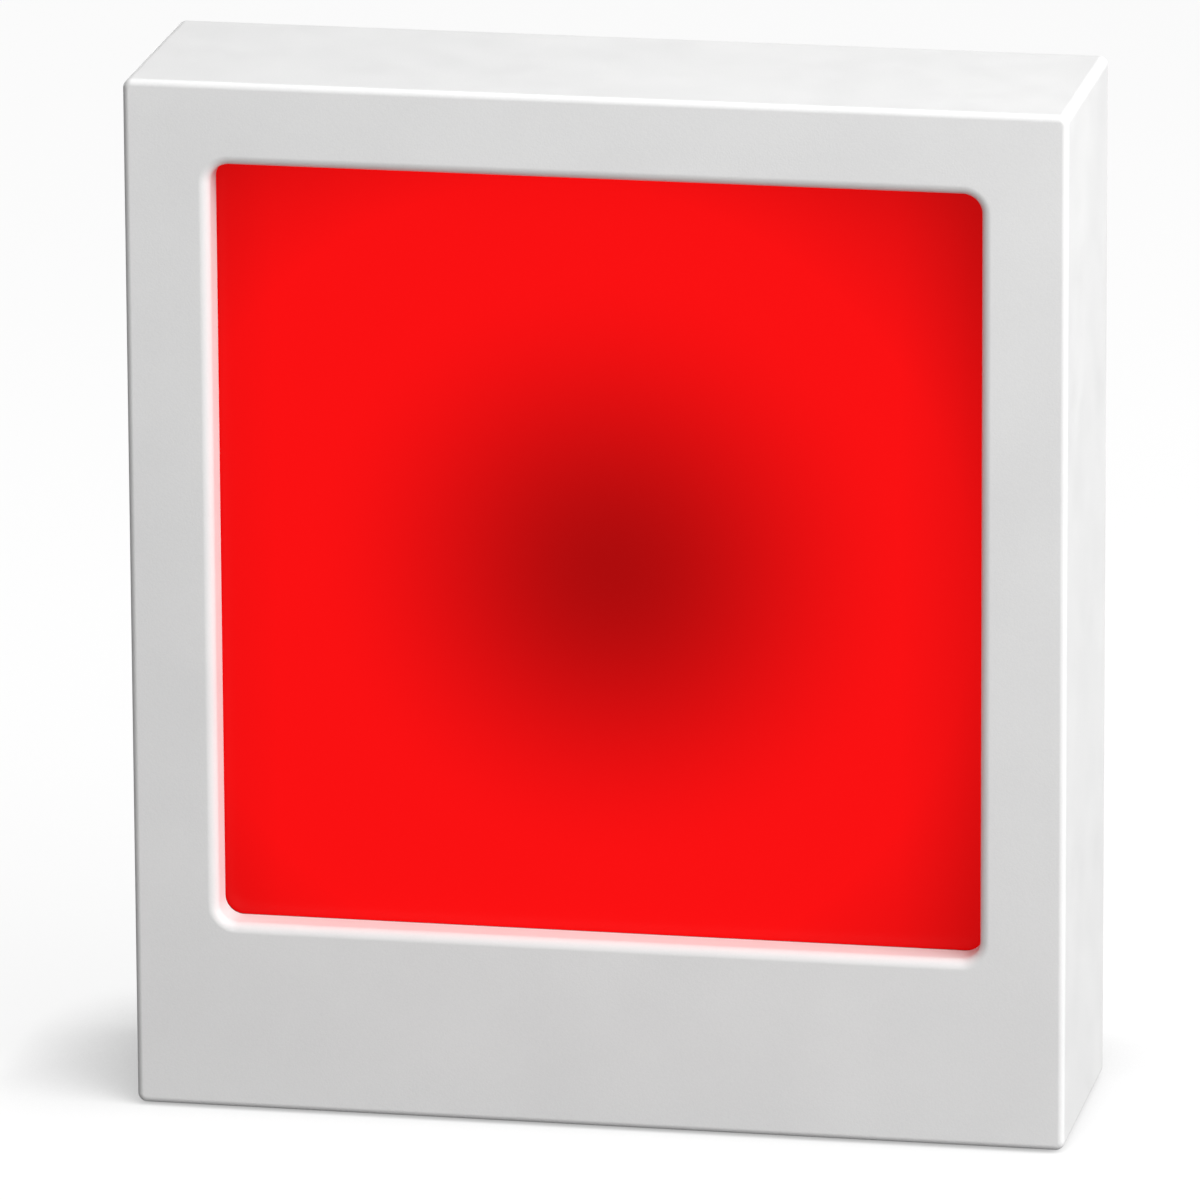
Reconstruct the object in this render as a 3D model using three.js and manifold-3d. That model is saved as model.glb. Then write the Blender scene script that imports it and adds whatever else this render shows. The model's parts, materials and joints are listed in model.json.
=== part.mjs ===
// Darkroom safelight: a slim upright lamp with a square red filter window, an LED ring behind it,
// four AA cells and a power inlet. Millimetres. +X is right seen from the front, the front faces -Y
// and +Z is up. The origin is under the middle of the case, on the surface that the feet stand on.
import * as THREE from "three";
import { mergeVertices } from "three/addons/utils/BufferGeometryUtils.js";
import Module from "manifold-3d";

const wasm = await Module();
wasm.setup();

// ---------------------------------------------------------------- driving dimensions

const CASE_WIDTH = 180;
const CASE_HEIGHT = 202;
const CASE_DEPTH = 50;
const WALL = 2.5;
const FRONT_EDGE_RADIUS = 2.2;
const REAR_EDGE_RADIUS = 1.5;
const CORNER_RADIUS = 2.8;
const FOOT_STAND = 0.6; // how far the feet hold the case off the table

const WINDOW_WIDTH = 147.2;
const WINDOW_HEIGHT = 149.1;
const WINDOW_ABOVE_BASE = 36.9; // the deep chin under the window
const WINDOW_CORNER = 3.7;
const LIP_RADIUS = 2; // the rounded edge round the window
const FILTER_SETBACK = 7.5; // the filter's face behind the front of the case
const FILTER_THICKNESS = 3;
const DIFFUSER_THICKNESS = 2;
const FILTER_OVERLAP = 4; // how far the filter reaches past the window's edge

const LEAST_CORNER = 0.4; // the smallest corner radius that any outline keeps
const GAP = 0.25; // the clearance between two pieces that lie on each other
const SINK = 0.5; // how far a joined solid reaches into its neighbour, so that the two fuse
const PAST = 1; // how far a cutter reaches beyond the face that it opens
const LED_COUNT = 8;
const LED_CIRCLE = 52; // radius
const CELL_RADIUS = 7.1;
const CELL_LENGTH = 50.2;
const CELL_PITCH = 15.2; // from one row of cells to the next
const DOOR_WIDTH = 120.2;
const DOOR_HEIGHT = 34.7;
const ROCKER_TILT = 12; // degrees either side of level

// ---------------------------------------------------------------- derived places

const FRONT = -CASE_DEPTH / 2;
const BACK = CASE_DEPTH / 2;
const CASE_LOW = FOOT_STAND;
const CASE_TOP = FOOT_STAND + CASE_HEIGHT;
const FILTER_FRONT = FRONT + FILTER_SETBACK;
const FILTER_BACK = FILTER_FRONT + FILTER_THICKNESS;
const DIFFUSER_FRONT = FILTER_BACK + GAP;
const DIFFUSER_BACK = DIFFUSER_FRONT + DIFFUSER_THICKNESS;
const FLANGE_END = FILTER_FRONT - 0.75; // the window's inner wall stops at the gasket
const FRAME_FRONT = DIFFUSER_BACK + GAP;
const FRAME_BACK = FRAME_FRONT + 2;
const TRAY_FRONT = FRAME_BACK + GAP;
const TRAY_FLOOR = 0;
const TRAY_BACK = 1.5;
const COVER_FRONT = BACK - 3.5;
const COVER_BACK = BACK - 1;
const LEDGE_BACK = COVER_FRONT - 1.1;

const outerCase = {
  left: -CASE_WIDTH / 2,
  right: CASE_WIDTH / 2,
  low: CASE_LOW,
  high: CASE_TOP,
  radius: CORNER_RADIUS,
};
const innerCase = grown(outerCase, -WALL, 1);
const windowEdge = {
  left: -WINDOW_WIDTH / 2,
  right: WINDOW_WIDTH / 2,
  low: CASE_LOW + WINDOW_ABOVE_BASE,
  high: CASE_LOW + WINDOW_ABOVE_BASE + WINDOW_HEIGHT,
  radius: WINDOW_CORNER,
};
const WINDOW_CENTRE_Z = (windowEdge.low + windowEdge.high) / 2;

// ---------------------------------------------------------------- geometry helpers

// A rectangle with every side moved out by a distance, or in by a negative one.
function grown(rectangle, distance, radius = rectangle.radius + distance) {
  return {
    left: rectangle.left - distance,
    right: rectangle.right + distance,
    low: rectangle.low - distance,
    high: rectangle.high + distance,
    radius: Math.max(radius, LEAST_CORNER),
  };
}

function centred(x, z, width, height, radius = 0.5) {
  return {
    left: x - width / 2,
    right: x + width / 2,
    low: z - height / 2,
    high: z + height / 2,
    radius,
  };
}

// The outline of a rounded rectangle in (x, z), as a shape or as a hole in one.
function outline({ left, right, low, high, radius }, path = new THREE.Shape()) {
  const quarter = Math.PI / 2;
  path.moveTo(left + radius, low);
  path.absarc(right - radius, low + radius, radius, -quarter, 0);
  path.absarc(right - radius, high - radius, radius, 0, quarter);
  path.absarc(left + radius, high - radius, radius, quarter, 2 * quarter);
  path.absarc(left + radius, low + radius, radius, 2 * quarter, 3 * quarter);
  path.closePath();
  return path;
}

// A plate that stands in the X-Z plane: its shape is drawn in (x, z) and runs from front to back.
// Each arc of the shape gets twice as many straight steps as halfSteps says.
function plate(shape, front, back, halfSteps = 2) {
  const geometry = new THREE.ExtrudeGeometry(shape, {
    depth: back - front,
    bevelEnabled: false,
    curveSegments: halfSteps,
  });
  geometry.rotateX(Math.PI / 2);
  geometry.translate(0, back, 0);
  return geometry;
}

function slab(rectangle, front, back) {
  return plate(outline(rectangle), front, back);
}

// A flat ring between two rounded rectangles.
function ringPlate(outer, inner, front, back) {
  const shape = outline(outer);
  shape.holes.push(outline(inner, new THREE.Path()));
  return plate(shape, front, back);
}

// A solid through rounded rectangles at rising y, with a flat face at both ends.
function loft(sections, cornerSteps = 4) {
  const ringSize = 4 * (cornerSteps + 1);
  const positions = [];
  const index = [];
  const addPoint = (x, y, z) => positions.push(x, y, z) / 3 - 1;
  for (const { y, left, right, low, high, radius } of sections) {
    const corners = [
      [right - radius, low + radius],
      [right - radius, high - radius],
      [left + radius, high - radius],
      [left + radius, low + radius],
    ];
    corners.forEach(([x, z], corner) => {
      for (let step = 0; step <= cornerSteps; step += 1) {
        const angle = (Math.PI / 2) * (corner - 1 + step / cornerSteps);
        addPoint(x + radius * Math.cos(angle), y, z + radius * Math.sin(angle));
      }
    });
  }
  for (let ring = 0; ring < sections.length - 1; ring += 1) {
    for (let step = 0; step < ringSize; step += 1) {
      const here = ring * ringSize + step;
      const next = ring * ringSize + ((step + 1) % ringSize);
      index.push(here, here + ringSize, next, next, here + ringSize, next + ringSize);
    }
  }
  const last = (sections.length - 1) * ringSize;
  for (let step = 1; step < ringSize - 1; step += 1) {
    index.push(0, step, step + 1);
    index.push(last, last + step + 1, last + step);
  }
  const geometry = new THREE.BufferGeometry();
  geometry.setAttribute("position", new THREE.Float32BufferAttribute(positions, 3));
  geometry.setIndex(index);
  return geometry;
}

function inOrder(numbers) {
  return [...numbers].sort((a, b) => a - b);
}

// A box between two corners.
function block([x0, y0, z0], [x1, y1, z1]) {
  const geometry = new THREE.BoxGeometry(x1 - x0, y1 - y0, z1 - z0);
  geometry.translate((x0 + x1) / 2, (y0 + y1) / 2, (z0 + z1) / 2);
  return geometry;
}

// A round bar along Y.
function pegY(radius, x, z, front, back, sides = 12) {
  const geometry = new THREE.CylinderGeometry(radius, radius, back - front, sides);
  geometry.translate(x, (front + back) / 2, z);
  return geometry;
}

// A round bar along X.
function pegX(radius, y, z, left, right, sides = 12) {
  const geometry = new THREE.CylinderGeometry(radius, radius, right - left, sides);
  geometry.rotateZ(Math.PI / 2);
  geometry.translate((left + right) / 2, y, z);
  return geometry;
}

// A turned solid about the Y axis, from [radius, y] points that start and end on the axis.
function turned(points, sides = 16) {
  return new THREE.LatheGeometry(
    points.map(([radius, y]) => new THREE.Vector2(radius, y)),
    sides,
  );
}

function solidOf(geometry) {
  const bare = new THREE.BufferGeometry();
  bare.setAttribute("position", geometry.getAttribute("position").clone());
  bare.setIndex(geometry.index);
  const merged = mergeVertices(bare, 1e-4);
  const mesh = new wasm.Mesh({
    numProp: 3,
    vertProperties: merged.attributes.position.array,
    triVerts: new Uint32Array(merged.index.array),
  });
  return new wasm.Manifold(mesh);
}

function geometryOf(solid) {
  const mesh = solid.getMesh();
  const indexed = new THREE.BufferGeometry();
  indexed.setAttribute("position", new THREE.Float32BufferAttribute(mesh.vertProperties, 3));
  indexed.setIndex(Array.from(mesh.triVerts));
  const geometry = indexed.toNonIndexed();
  geometry.computeVertexNormals();
  return geometry;
}

function join(first, ...others) {
  return geometryOf(others.reduce((solid, other) => solid.add(solidOf(other)), solidOf(first)));
}

function cut(first, ...others) {
  return geometryOf(others.reduce((solid, other) => solid.subtract(solidOf(other)), solidOf(first)));
}

// A round wire or rod along a curve.
function rod(curve, radius, steps, sides) {
  const section = new THREE.Shape();
  section.absarc(0, 0, radius, 0, 2 * Math.PI);
  return new THREE.ExtrudeGeometry(section, {
    steps,
    extrudePath: curve,
    curveSegments: sides / 2,
    bevelEnabled: false,
  });
}

// ---------------------------------------------------------------- finishes and the scene graph

const finishes = {
  white_plastic: { color: 0xe6e7e6, roughness: 0.55, metalness: 0 },
  bright_white: { color: 0xf6f6f4, roughness: 0.4, metalness: 0 },
  black_plastic: { color: 0x1b1c1d, roughness: 0.5, metalness: 0 },
  red_acrylic: { color: 0xd8090f, roughness: 0.12, metalness: 0 },
  opal_acrylic: { color: 0xf3eeea, roughness: 0.35, metalness: 0 },
  black_foam: { color: 0x202020, roughness: 0.95, metalness: 0 },
  rubber: { color: 0x2a2a2b, roughness: 0.9, metalness: 0 },
  steel: { color: 0xb4b6b8, roughness: 0.3, metalness: 1 },
  circuit_board: { color: 0x1f5a38, roughness: 0.45, metalness: 0 },
  white_board: { color: 0xeef0ee, roughness: 0.4, metalness: 0 },
  led_body: { color: 0xf4d6a0, roughness: 0.4, metalness: 0 },
  copper: { color: 0xb56a3a, roughness: 0.35, metalness: 1 },
  cell_sleeve: { color: 0x3b6ea8, roughness: 0.35, metalness: 0.2 },
  capacitor_sleeve: { color: 0x24304f, roughness: 0.4, metalness: 0 },
  red_insulation: { color: 0xb3191c, roughness: 0.5, metalness: 0 },
  black_insulation: { color: 0x161616, roughness: 0.5, metalness: 0 },
};

const lamp = new THREE.Group();
const housing = new THREE.Group();
const optics = new THREE.Group();
const power = new THREE.Group();
const driver = new THREE.Group();
lamp.add(housing, optics, power, driver);

function addPiece(group, name, geometry, finish, position = [0, 0, 0], rotation = [0, 0, 0]) {
  const mesh = new THREE.Mesh(geometry, new THREE.MeshStandardMaterial(finishes[finish]));
  mesh.name = name;
  mesh.position.set(...position);
  mesh.rotation.set(...rotation);
  group.add(mesh);
}

// A pan-head screw along Y: its head is at the rear, and the origin is under the head.
function screwGeometry(shaftRadius, length, headRadius, headHeight) {
  const slotDepth = 0.6 * headHeight;
  const blank = turned(
    [
      [0, -length],
      [0.5 * shaftRadius, -length],
      [shaftRadius, -length + shaftRadius],
      [shaftRadius, 0],
      [headRadius, 0],
      [headRadius, 0.5 * headHeight],
      [0.75 * headRadius, headHeight],
      [0, headHeight],
    ],
    10,
  );
  const arm = 0.55 * headRadius;
  const halfSlot = 0.14 * headRadius;
  const across = block([-arm, headHeight - slotDepth, -halfSlot], [arm, headHeight + 1, halfSlot]);
  const upright = block([-halfSlot, headHeight - slotDepth, -arm], [halfSlot, headHeight + 1, arm]);
  return cut(blank, across, upright);
}

// ---------------------------------------------------------------- shared fixing points

const rearScrewPlaces = [
  [-82.3, 8.5],
  [82.3, 8.5],
  [-82.3, 194.7],
  [82.3, 194.7],
];
const frameScrewPlaces = [
  [-82.6, 62],
  [82.6, 62],
  [-82.6, 162],
  [82.6, 162],
];
const footPlaces = [
  [-76, -15.5],
  [76, -15.5],
  [-76, 15.5],
  [76, 15.5],
];
const BOSS_RADIUS = 3;
const WEB_THICKNESS = 1.2; // of the rib that ties a corner boss to the side wall
const REAR_PILOT_RADIUS = 1.6;
const REAR_PILOT_DEPTH = 14;
const FRAME_PILOT_RADIUS = 1.5;
const EAR_RADIUS = 3.6;
const LEDGE_WIDTH = 1.8; // the ledge inside the case that the rear seal lies on
const LEDGE_THICKNESS = 1.5;
const FOOT_RADIUS = 6;
const FOOT_HEIGHT = 1.35;
const FOOT_CHAMFER = 0.4;
const FOOT_POCKET_RADIUS = 6.3;
const FOOT_POCKET_DEPTH = 1;

// ---------------------------------------------------------------- front shell

// The rounded outside of the case: a quarter round at the front edge and a smaller one at the rear.
function caseBlank() {
  const steps = 4;
  const sections = [];
  for (let step = 0; step <= steps; step += 1) {
    const angle = (Math.PI / 2) * (step / steps);
    const inset = FRONT_EDGE_RADIUS * (1 - Math.sin(angle));
    const y = FRONT + FRONT_EDGE_RADIUS * (1 - Math.cos(angle));
    sections.push({ y, ...grown(outerCase, -inset) });
  }
  for (let step = steps; step >= 0; step -= 1) {
    const angle = (Math.PI / 2) * (step / steps);
    const inset = REAR_EDGE_RADIUS * (1 - Math.sin(angle));
    const y = BACK - REAR_EDGE_RADIUS * (1 - Math.cos(angle));
    sections.push({ y, ...grown(outerCase, -inset) });
  }
  return loft(sections);
}

// What is cut away for the window: it flares at the front, which leaves a rounded lip.
function windowCutter() {
  const steps = 4;
  const sections = [{ y: FRONT - 1, ...grown(windowEdge, LIP_RADIUS) }];
  for (let step = 0; step <= steps; step += 1) {
    const angle = (Math.PI / 2) * (step / steps);
    const y = FRONT + LIP_RADIUS * (1 - Math.cos(angle));
    sections.push({ y, ...grown(windowEdge, LIP_RADIUS * (1 - Math.sin(angle))) });
  }
  sections.push({ y: FILTER_FRONT, ...windowEdge });
  return loft(sections);
}

function frontShell() {
  const insideFront = FRONT + WALL;
  const behindFront = insideFront - SINK;
  const cavity = loft([
    { y: insideFront, ...innerCase },
    { y: BACK + PAST, ...innerCase },
  ]);
  const flange = slab(grown(windowEdge, WALL), behindFront, FLANGE_END);
  const ledgeHole = grown(innerCase, -LEDGE_WIDTH);
  const ledgeFront = LEDGE_BACK - LEDGE_THICKNESS;
  const ledge = ringPlate(grown(innerCase, SINK), ledgeHole, ledgeFront, LEDGE_BACK);
  const bosses = [];
  const pilots = [];
  for (const [x, z] of rearScrewPlaces) {
    const side = Math.sign(x);
    const [left, right] = inOrder([x, side * (innerCase.right + SINK)]);
    const low = z - WEB_THICKNESS / 2;
    bosses.push(pegY(BOSS_RADIUS, x, z, behindFront, LEDGE_BACK));
    bosses.push(block([left, behindFront, low], [right, ledgeFront, low + WEB_THICKNESS]));
    pilots.push(pegY(REAR_PILOT_RADIUS, x, z, LEDGE_BACK - REAR_PILOT_DEPTH, BACK));
  }
  for (const [x, z] of frameScrewPlaces) {
    bosses.push(pegY(BOSS_RADIUS, x, z, behindFront, FRAME_FRONT - GAP));
    pilots.push(pegY(FRAME_PILOT_RADIUS, x, z, insideFront + 2, 0));
  }
  const pockets = footPlaces.map(([x, y]) => {
    const height = 2 * FOOT_POCKET_DEPTH;
    const pocket = new THREE.CylinderGeometry(FOOT_POCKET_RADIUS, FOOT_POCKET_RADIUS, height, 20);
    pocket.rotateX(Math.PI / 2);
    pocket.translate(x, y, CASE_LOW);
    return pocket;
  });
  const hollowCase = cut(caseBlank(), cavity);
  const filled = join(hollowCase, flange, ledge, ...bosses);
  return cut(filled, windowCutter(), ...pilots, ...pockets);
}

addPiece(housing, "front_shell", frontShell(), "white_plastic");

footPlaces.forEach(([x, y], number) => {
  const foot = turned([
    [0, 0],
    [FOOT_RADIUS - FOOT_CHAMFER, 0],
    [FOOT_RADIUS, FOOT_CHAMFER],
    [FOOT_RADIUS, FOOT_HEIGHT],
    [0, FOOT_HEIGHT],
  ]);
  foot.rotateX(Math.PI / 2);
  addPiece(housing, `rubber_foot_${number + 1}`, foot, "rubber", [x, y, 0]);
});

// ---------------------------------------------------------------- rear cover

const CONTROL_Z = 71;
const SWITCH_X = -15;
const SWITCH_CUTOUT = centred(SWITCH_X, CONTROL_Z, 13.2, 19.2);
const INLET_X = 15;
const INLET_HOLE_RADIUS = 4.2;
const WELL_FLOOR = COVER_FRONT - 6; // the recessed panel that carries the switch and the inlet
const WELL_FACE = WELL_FLOOR + 2;
const controlWell = centred(0, CONTROL_Z, 64, 26, 2);
const COUNTERBORE_RADIUS = 3.1;
const COUNTERBORE_DEPTH = 2.1;
const keyholeXs = [-52, 52];
const KEYHOLE_Z = 150;
const KEYHOLE_HEAD_RADIUS = 4.25;
const KEYHOLE_SLOT_RADIUS = 2.2;
const KEYHOLE_TRAVEL = 9;
const KEYHOLE_POCKET_DEPTH = 5.5; // the closed box behind each keyhole, which keeps the case light-tight
const POST_X = 65; // the two posts that hold the battery holder
const POST_Z = 27.2;
const POST_END = 17.2;
const POST_RADIUS = 2.8;
const POST_PILOT_RADIUS = 1.4;

const HINGE_Y = COVER_BACK - 1.2;
const HINGE_Z = 10;
const HINGE_RADIUS = 1.6;
const PIN_RADIUS = 0.6;
const PIN_HOLE_RADIUS = 0.9;
const PIN_REACH = 57;
const coverKnuckles = [
  [-58, -46],
  [-6, 6],
  [46, 58],
];
const doorKnuckles = [
  [-45.6, -6.4],
  [6.4, 45.6],
];
const DOOR_LOW = HINGE_Z + 1.9;
const batteryOpening = {
  left: -DOOR_WIDTH / 2 - 0.4,
  right: DOOR_WIDTH / 2 + 0.4,
  low: HINGE_Z - 2.6,
  high: DOOR_LOW + DOOR_HEIGHT + 0.4,
  radius: 1.4,
};

function hingeBarrel([left, right], webLow, webHigh) {
  const halfWeb = HINGE_RADIUS / 2;
  const barrel = pegX(HINGE_RADIUS, HINGE_Y, HINGE_Z, left, right);
  const web = block([left, HINGE_Y - halfWeb, webLow], [right, HINGE_Y + halfWeb, webHigh]);
  return [barrel, web];
}

function rearCover() {
  const panel = slab(grown(innerCase, -0.35), COVER_FRONT, COVER_BACK);
  const added = [slab(grown(controlWell, 2), WELL_FLOOR, COVER_FRONT + SINK)];
  const removed = [
    slab(controlWell, WELL_FACE, BACK),
    slab(batteryOpening, COVER_FRONT - PAST, BACK),
    slab(SWITCH_CUTOUT, WELL_FLOOR - PAST, BACK),
    pegY(INLET_HOLE_RADIUS, INLET_X, CONTROL_Z, WELL_FLOOR - PAST, BACK, 20),
  ];
  for (const [x, z] of rearScrewPlaces) {
    added.push(pegY(BOSS_RADIUS, x, z, LEDGE_BACK + 0.2, COVER_FRONT + SINK));
    removed.push(pegY(REAR_PILOT_RADIUS, x, z, LEDGE_BACK - PAST, BACK));
    removed.push(pegY(COUNTERBORE_RADIUS, x, z, COVER_BACK - COUNTERBORE_DEPTH, BACK));
  }
  for (const x of keyholeXs) {
    const pocket = centred(x, KEYHOLE_Z + 3.5, 14, 21, 2);
    const pocketFront = COVER_FRONT - KEYHOLE_POCKET_DEPTH;
    const slotTop = KEYHOLE_Z + KEYHOLE_TRAVEL;
    const slotSide = KEYHOLE_SLOT_RADIUS;
    added.push(slab(pocket, pocketFront, COVER_FRONT + SINK));
    removed.push(slab(grown(pocket, -1.8, 0.6), pocketFront + 1.7, COVER_FRONT));
    removed.push(pegY(KEYHOLE_HEAD_RADIUS, x, KEYHOLE_Z, COVER_FRONT - PAST, BACK, 20));
    removed.push(pegY(KEYHOLE_SLOT_RADIUS, x, slotTop, COVER_FRONT - PAST, BACK, 16));
    removed.push(block([x - slotSide, COVER_FRONT - PAST, KEYHOLE_Z], [x + slotSide, BACK, slotTop]));
  }
  for (const x of [-POST_X, POST_X]) {
    added.push(pegY(POST_RADIUS, x, POST_Z, POST_END, COVER_FRONT + SINK));
    removed.push(pegY(POST_PILOT_RADIUS, x, POST_Z, POST_END - PAST, COVER_FRONT + 0.6));
  }
  const body = cut(join(panel, ...added), ...removed);
  const webLow = batteryOpening.low - SINK;
  const barrels = coverKnuckles.flatMap((span) => hingeBarrel(span, webLow, HINGE_Z));
  const pinHole = pegX(PIN_HOLE_RADIUS, HINGE_Y, HINGE_Z, -PIN_REACH - 0.3, PIN_REACH + 0.3);
  return cut(join(body, ...barrels), pinHole);
}

addPiece(housing, "rear_cover", rearCover(), "white_plastic");

const seal = ringPlate(
  grown(innerCase, -0.3),
  grown(innerCase, -1.5),
  LEDGE_BACK + 0.2,
  COVER_FRONT - 0.2,
);
addPiece(housing, "rear_seal", seal, "black_foam");

rearScrewPlaces.forEach(([x, z], number) => {
  const screw = screwGeometry(1.3, 13, 2.7, 1.5);
  addPiece(housing, `rear_screw_${number + 1}`, screw, "steel", [x, COVER_BACK - 1.8, z]);
});

// ---------------------------------------------------------------- battery door

const DOOR_THICKNESS = 2;
const GRIP_REACH = 11; // half the length of the three grip grooves under the finger notch
const GRIP_WIDTH = 1;
const GRIP_DEPTH = 0.6;
const GRIP_PITCH = 4;

function batteryDoor() {
  const doorEdge = {
    left: -DOOR_WIDTH / 2,
    right: DOOR_WIDTH / 2,
    low: DOOR_LOW,
    high: DOOR_LOW + DOOR_HEIGHT,
    radius: 1.2,
  };
  const panel = slab(doorEdge, COVER_BACK - DOOR_THICKNESS, COVER_BACK);
  const barrels = doorKnuckles.flatMap((span) => hingeBarrel(span, HINGE_Z, DOOR_LOW + 0.3));
  const fingerNotch = pegY(7, 0, doorEdge.high + 3.4, COVER_BACK - 1.2, BACK, 24);
  const pinHole = pegX(PIN_HOLE_RADIUS, HINGE_Y, HINGE_Z, -PIN_REACH, PIN_REACH);
  const grooves = [2, 3, 4].map((number) => {
    const low = doorEdge.high - number * GRIP_PITCH - GRIP_WIDTH / 2;
    return block([-GRIP_REACH, COVER_BACK - GRIP_DEPTH, low], [GRIP_REACH, BACK, low + GRIP_WIDTH]);
  });
  return cut(join(panel, ...barrels), fingerNotch, pinHole, ...grooves);
}

addPiece(power, "battery_door", batteryDoor(), "white_plastic");

const hingePin = pegX(PIN_RADIUS, 0, 0, -PIN_REACH, PIN_REACH, 10);
addPiece(power, "door_hinge_pin", hingePin, "steel", [0, HINGE_Y, HINGE_Z]);

// ---------------------------------------------------------------- battery holder and its contacts

const HOLDER_FRONT = 3.7;
const HOLDER_BACK = 20.5;
const HOLDER_WALL = 1.2;
const HOLDER_REACH = 54.2; // half the room inside, along the cells
const CELL_Y = 12.4;
const rowZs = [POST_Z - CELL_PITCH / 2, POST_Z + CELL_PITCH / 2];
const holderInside = centred(0, POST_Z, 2 * HOLDER_REACH, CELL_PITCH + 2 * CELL_RADIUS + 0.8, 0.6);
const EAR_RISE = 3.2; // radius of the holder's two screw ears
const CONTACT_THICKNESS = 0.5;
const CONTACT_FACE = HOLDER_REACH - 0.2 - CONTACT_THICKNESS;

function batteryHolder() {
  const outside = slab(grown(holderInside, HOLDER_WALL, 1.5), HOLDER_FRONT, HOLDER_BACK);
  const earBack = POST_END - 0.2;
  const earFront = earBack - 2;
  const ears = [];
  const holes = [];
  for (const side of [-1, 1]) {
    const [left, right] = inOrder([side * (HOLDER_REACH + HOLDER_WALL / 2), side * POST_X]);
    ears.push(block([left, earFront, POST_Z - EAR_RISE], [right, earBack, POST_Z + EAR_RISE]));
    ears.push(pegY(EAR_RISE, side * POST_X, POST_Z, earFront, earBack));
    holes.push(pegY(1.5, side * POST_X, POST_Z, earFront - PAST, earBack + PAST));
  }
  const divider = block(
    [-HOLDER_REACH + 2, HOLDER_FRONT + SINK, POST_Z - 0.5],
    [HOLDER_REACH - 2, CELL_Y - 5, POST_Z + 0.5],
  );
  const tabSlots = rowZs.map((z) =>
    block([-HOLDER_REACH - 3, CELL_Y - 1.5, z - 0.6], [-HOLDER_REACH + 1, CELL_Y + 1.5, z + 0.6]),
  );
  const inside = slab(holderInside, HOLDER_FRONT + HOLDER_WALL, HOLDER_BACK + PAST);
  const tray = cut(outside, inside);
  return cut(join(tray, divider, ...ears), ...holes, ...tabSlots);
}

addPiece(power, "battery_holder", batteryHolder(), "black_plastic");

[-1, 1].forEach((side, number) => {
  const screw = screwGeometry(1.1, 5.6, 2.2, 1.4);
  const place = [side * POST_X, POST_END - 2.4, POST_Z];
  addPiece(power, `holder_screw_${number + 1}`, screw, "steel", place, [Math.PI, 0, 0]);
});

// A cell along Y with its positive end at the top, centred on its length.
function cellGeometry() {
  const half = CELL_LENGTH / 2;
  return turned([
    [0, -half],
    [4.6, -half],
    [4.9, -half + 0.3],
    [6.5, -half + 0.3],
    [CELL_RADIUS, -half + 0.9],
    [CELL_RADIUS, half - 1.8],
    [6.5, half - 1.3],
    [2.7, half - 1.3],
    [2.6, half - 0.2],
    [2.3, half],
    [0, half],
  ], 12);
}

const DIMPLE_GAP = 0.7; // from a contact's plate to the positive end of its first cell
const CELL_GAP = 0.2;
const firstCellX = -CONTACT_FACE + DIMPLE_GAP + CELL_LENGTH / 2;
rowZs.forEach((z, row) => {
  const towardsPositive = row === 0 ? -1 : 1;
  for (const step of [0, 1]) {
    const x = -towardsPositive * (firstCellX + step * (CELL_LENGTH + CELL_GAP));
    const place = [x, CELL_Y, z];
    const turn = [0, 0, (-towardsPositive * Math.PI) / 2];
    addPiece(power, `battery_cell_${2 * row + step + 1}`, cellGeometry(), "cell_sleeve", place, turn);
  }
});

const SPRING_TURNS = 3;
const SPRING_LENGTH = 5;
const SPRING_BASE_RADIUS = 3.8;
const SPRING_TIP_RADIUS = 2.4;
const SPRING_WIRE_RADIUS = 0.4;

// A conical contact spring along X, from its plate to its tip.
class ConeSpring extends THREE.Curve {
  getPoint(t, target = new THREE.Vector3()) {
    const angle = t * SPRING_TURNS * 2 * Math.PI;
    const radius = THREE.MathUtils.lerp(SPRING_BASE_RADIUS, SPRING_TIP_RADIUS, t);
    return target.set(t * SPRING_LENGTH, radius * Math.cos(angle), radius * Math.sin(angle));
  }
}

function springOnPlate(side, z) {
  const spring = rod(new ConeSpring(), SPRING_WIRE_RADIUS, 10 * SPRING_TURNS, 8);
  if (side > 0) spring.rotateZ(Math.PI);
  spring.translate(side * (CONTACT_FACE - 0.1), CELL_Y, z);
  return spring;
}

function contactPlate(side, low, high) {
  const faces = [side * CONTACT_FACE, side * (CONTACT_FACE + CONTACT_THICKNESS)];
  const [left, right] = inOrder(faces);
  return block([left, CELL_Y - 6, low], [right, CELL_Y + 6, high]);
}

function dimple(side, z) {
  const [left, right] = inOrder([side * (CONTACT_FACE + 0.2), side * (CONTACT_FACE - 0.5)]);
  return pegX(1.8, CELL_Y, z, left, right);
}

function solderTab(z) {
  return block(
    [-HOLDER_REACH - 4.2, CELL_Y - 1.1, z - 0.25],
    [-CONTACT_FACE - 0.1, CELL_Y + 1.1, z + 0.25],
  );
}

const [lowRow, highRow] = rowZs;
const positiveContact = join(
  contactPlate(-1, lowRow - 5.5, lowRow + 5.5),
  dimple(-1, lowRow),
  solderTab(lowRow),
);
addPiece(power, "battery_positive_contact", positiveContact, "steel");

const negativeContact = join(
  contactPlate(-1, highRow - 5.5, highRow + 5.5),
  springOnPlate(-1, highRow),
  solderTab(highRow),
);
addPiece(power, "battery_negative_contact", negativeContact, "steel");

const linkContact = join(
  contactPlate(1, lowRow - 5.5, highRow + 5.5),
  springOnPlate(1, lowRow),
  dimple(1, highRow),
);
addPiece(power, "battery_link_contact", linkContact, "steel");

// ---------------------------------------------------------------- filter, diffuser and retaining frame

const gasketRing = ringPlate(
  grown(windowEdge, WALL - 0.2),
  grown(windowEdge, 0.15),
  FLANGE_END + 0.2,
  FILTER_FRONT - 0.2,
);
addPiece(optics, "filter_gasket", gasketRing, "black_foam");

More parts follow.
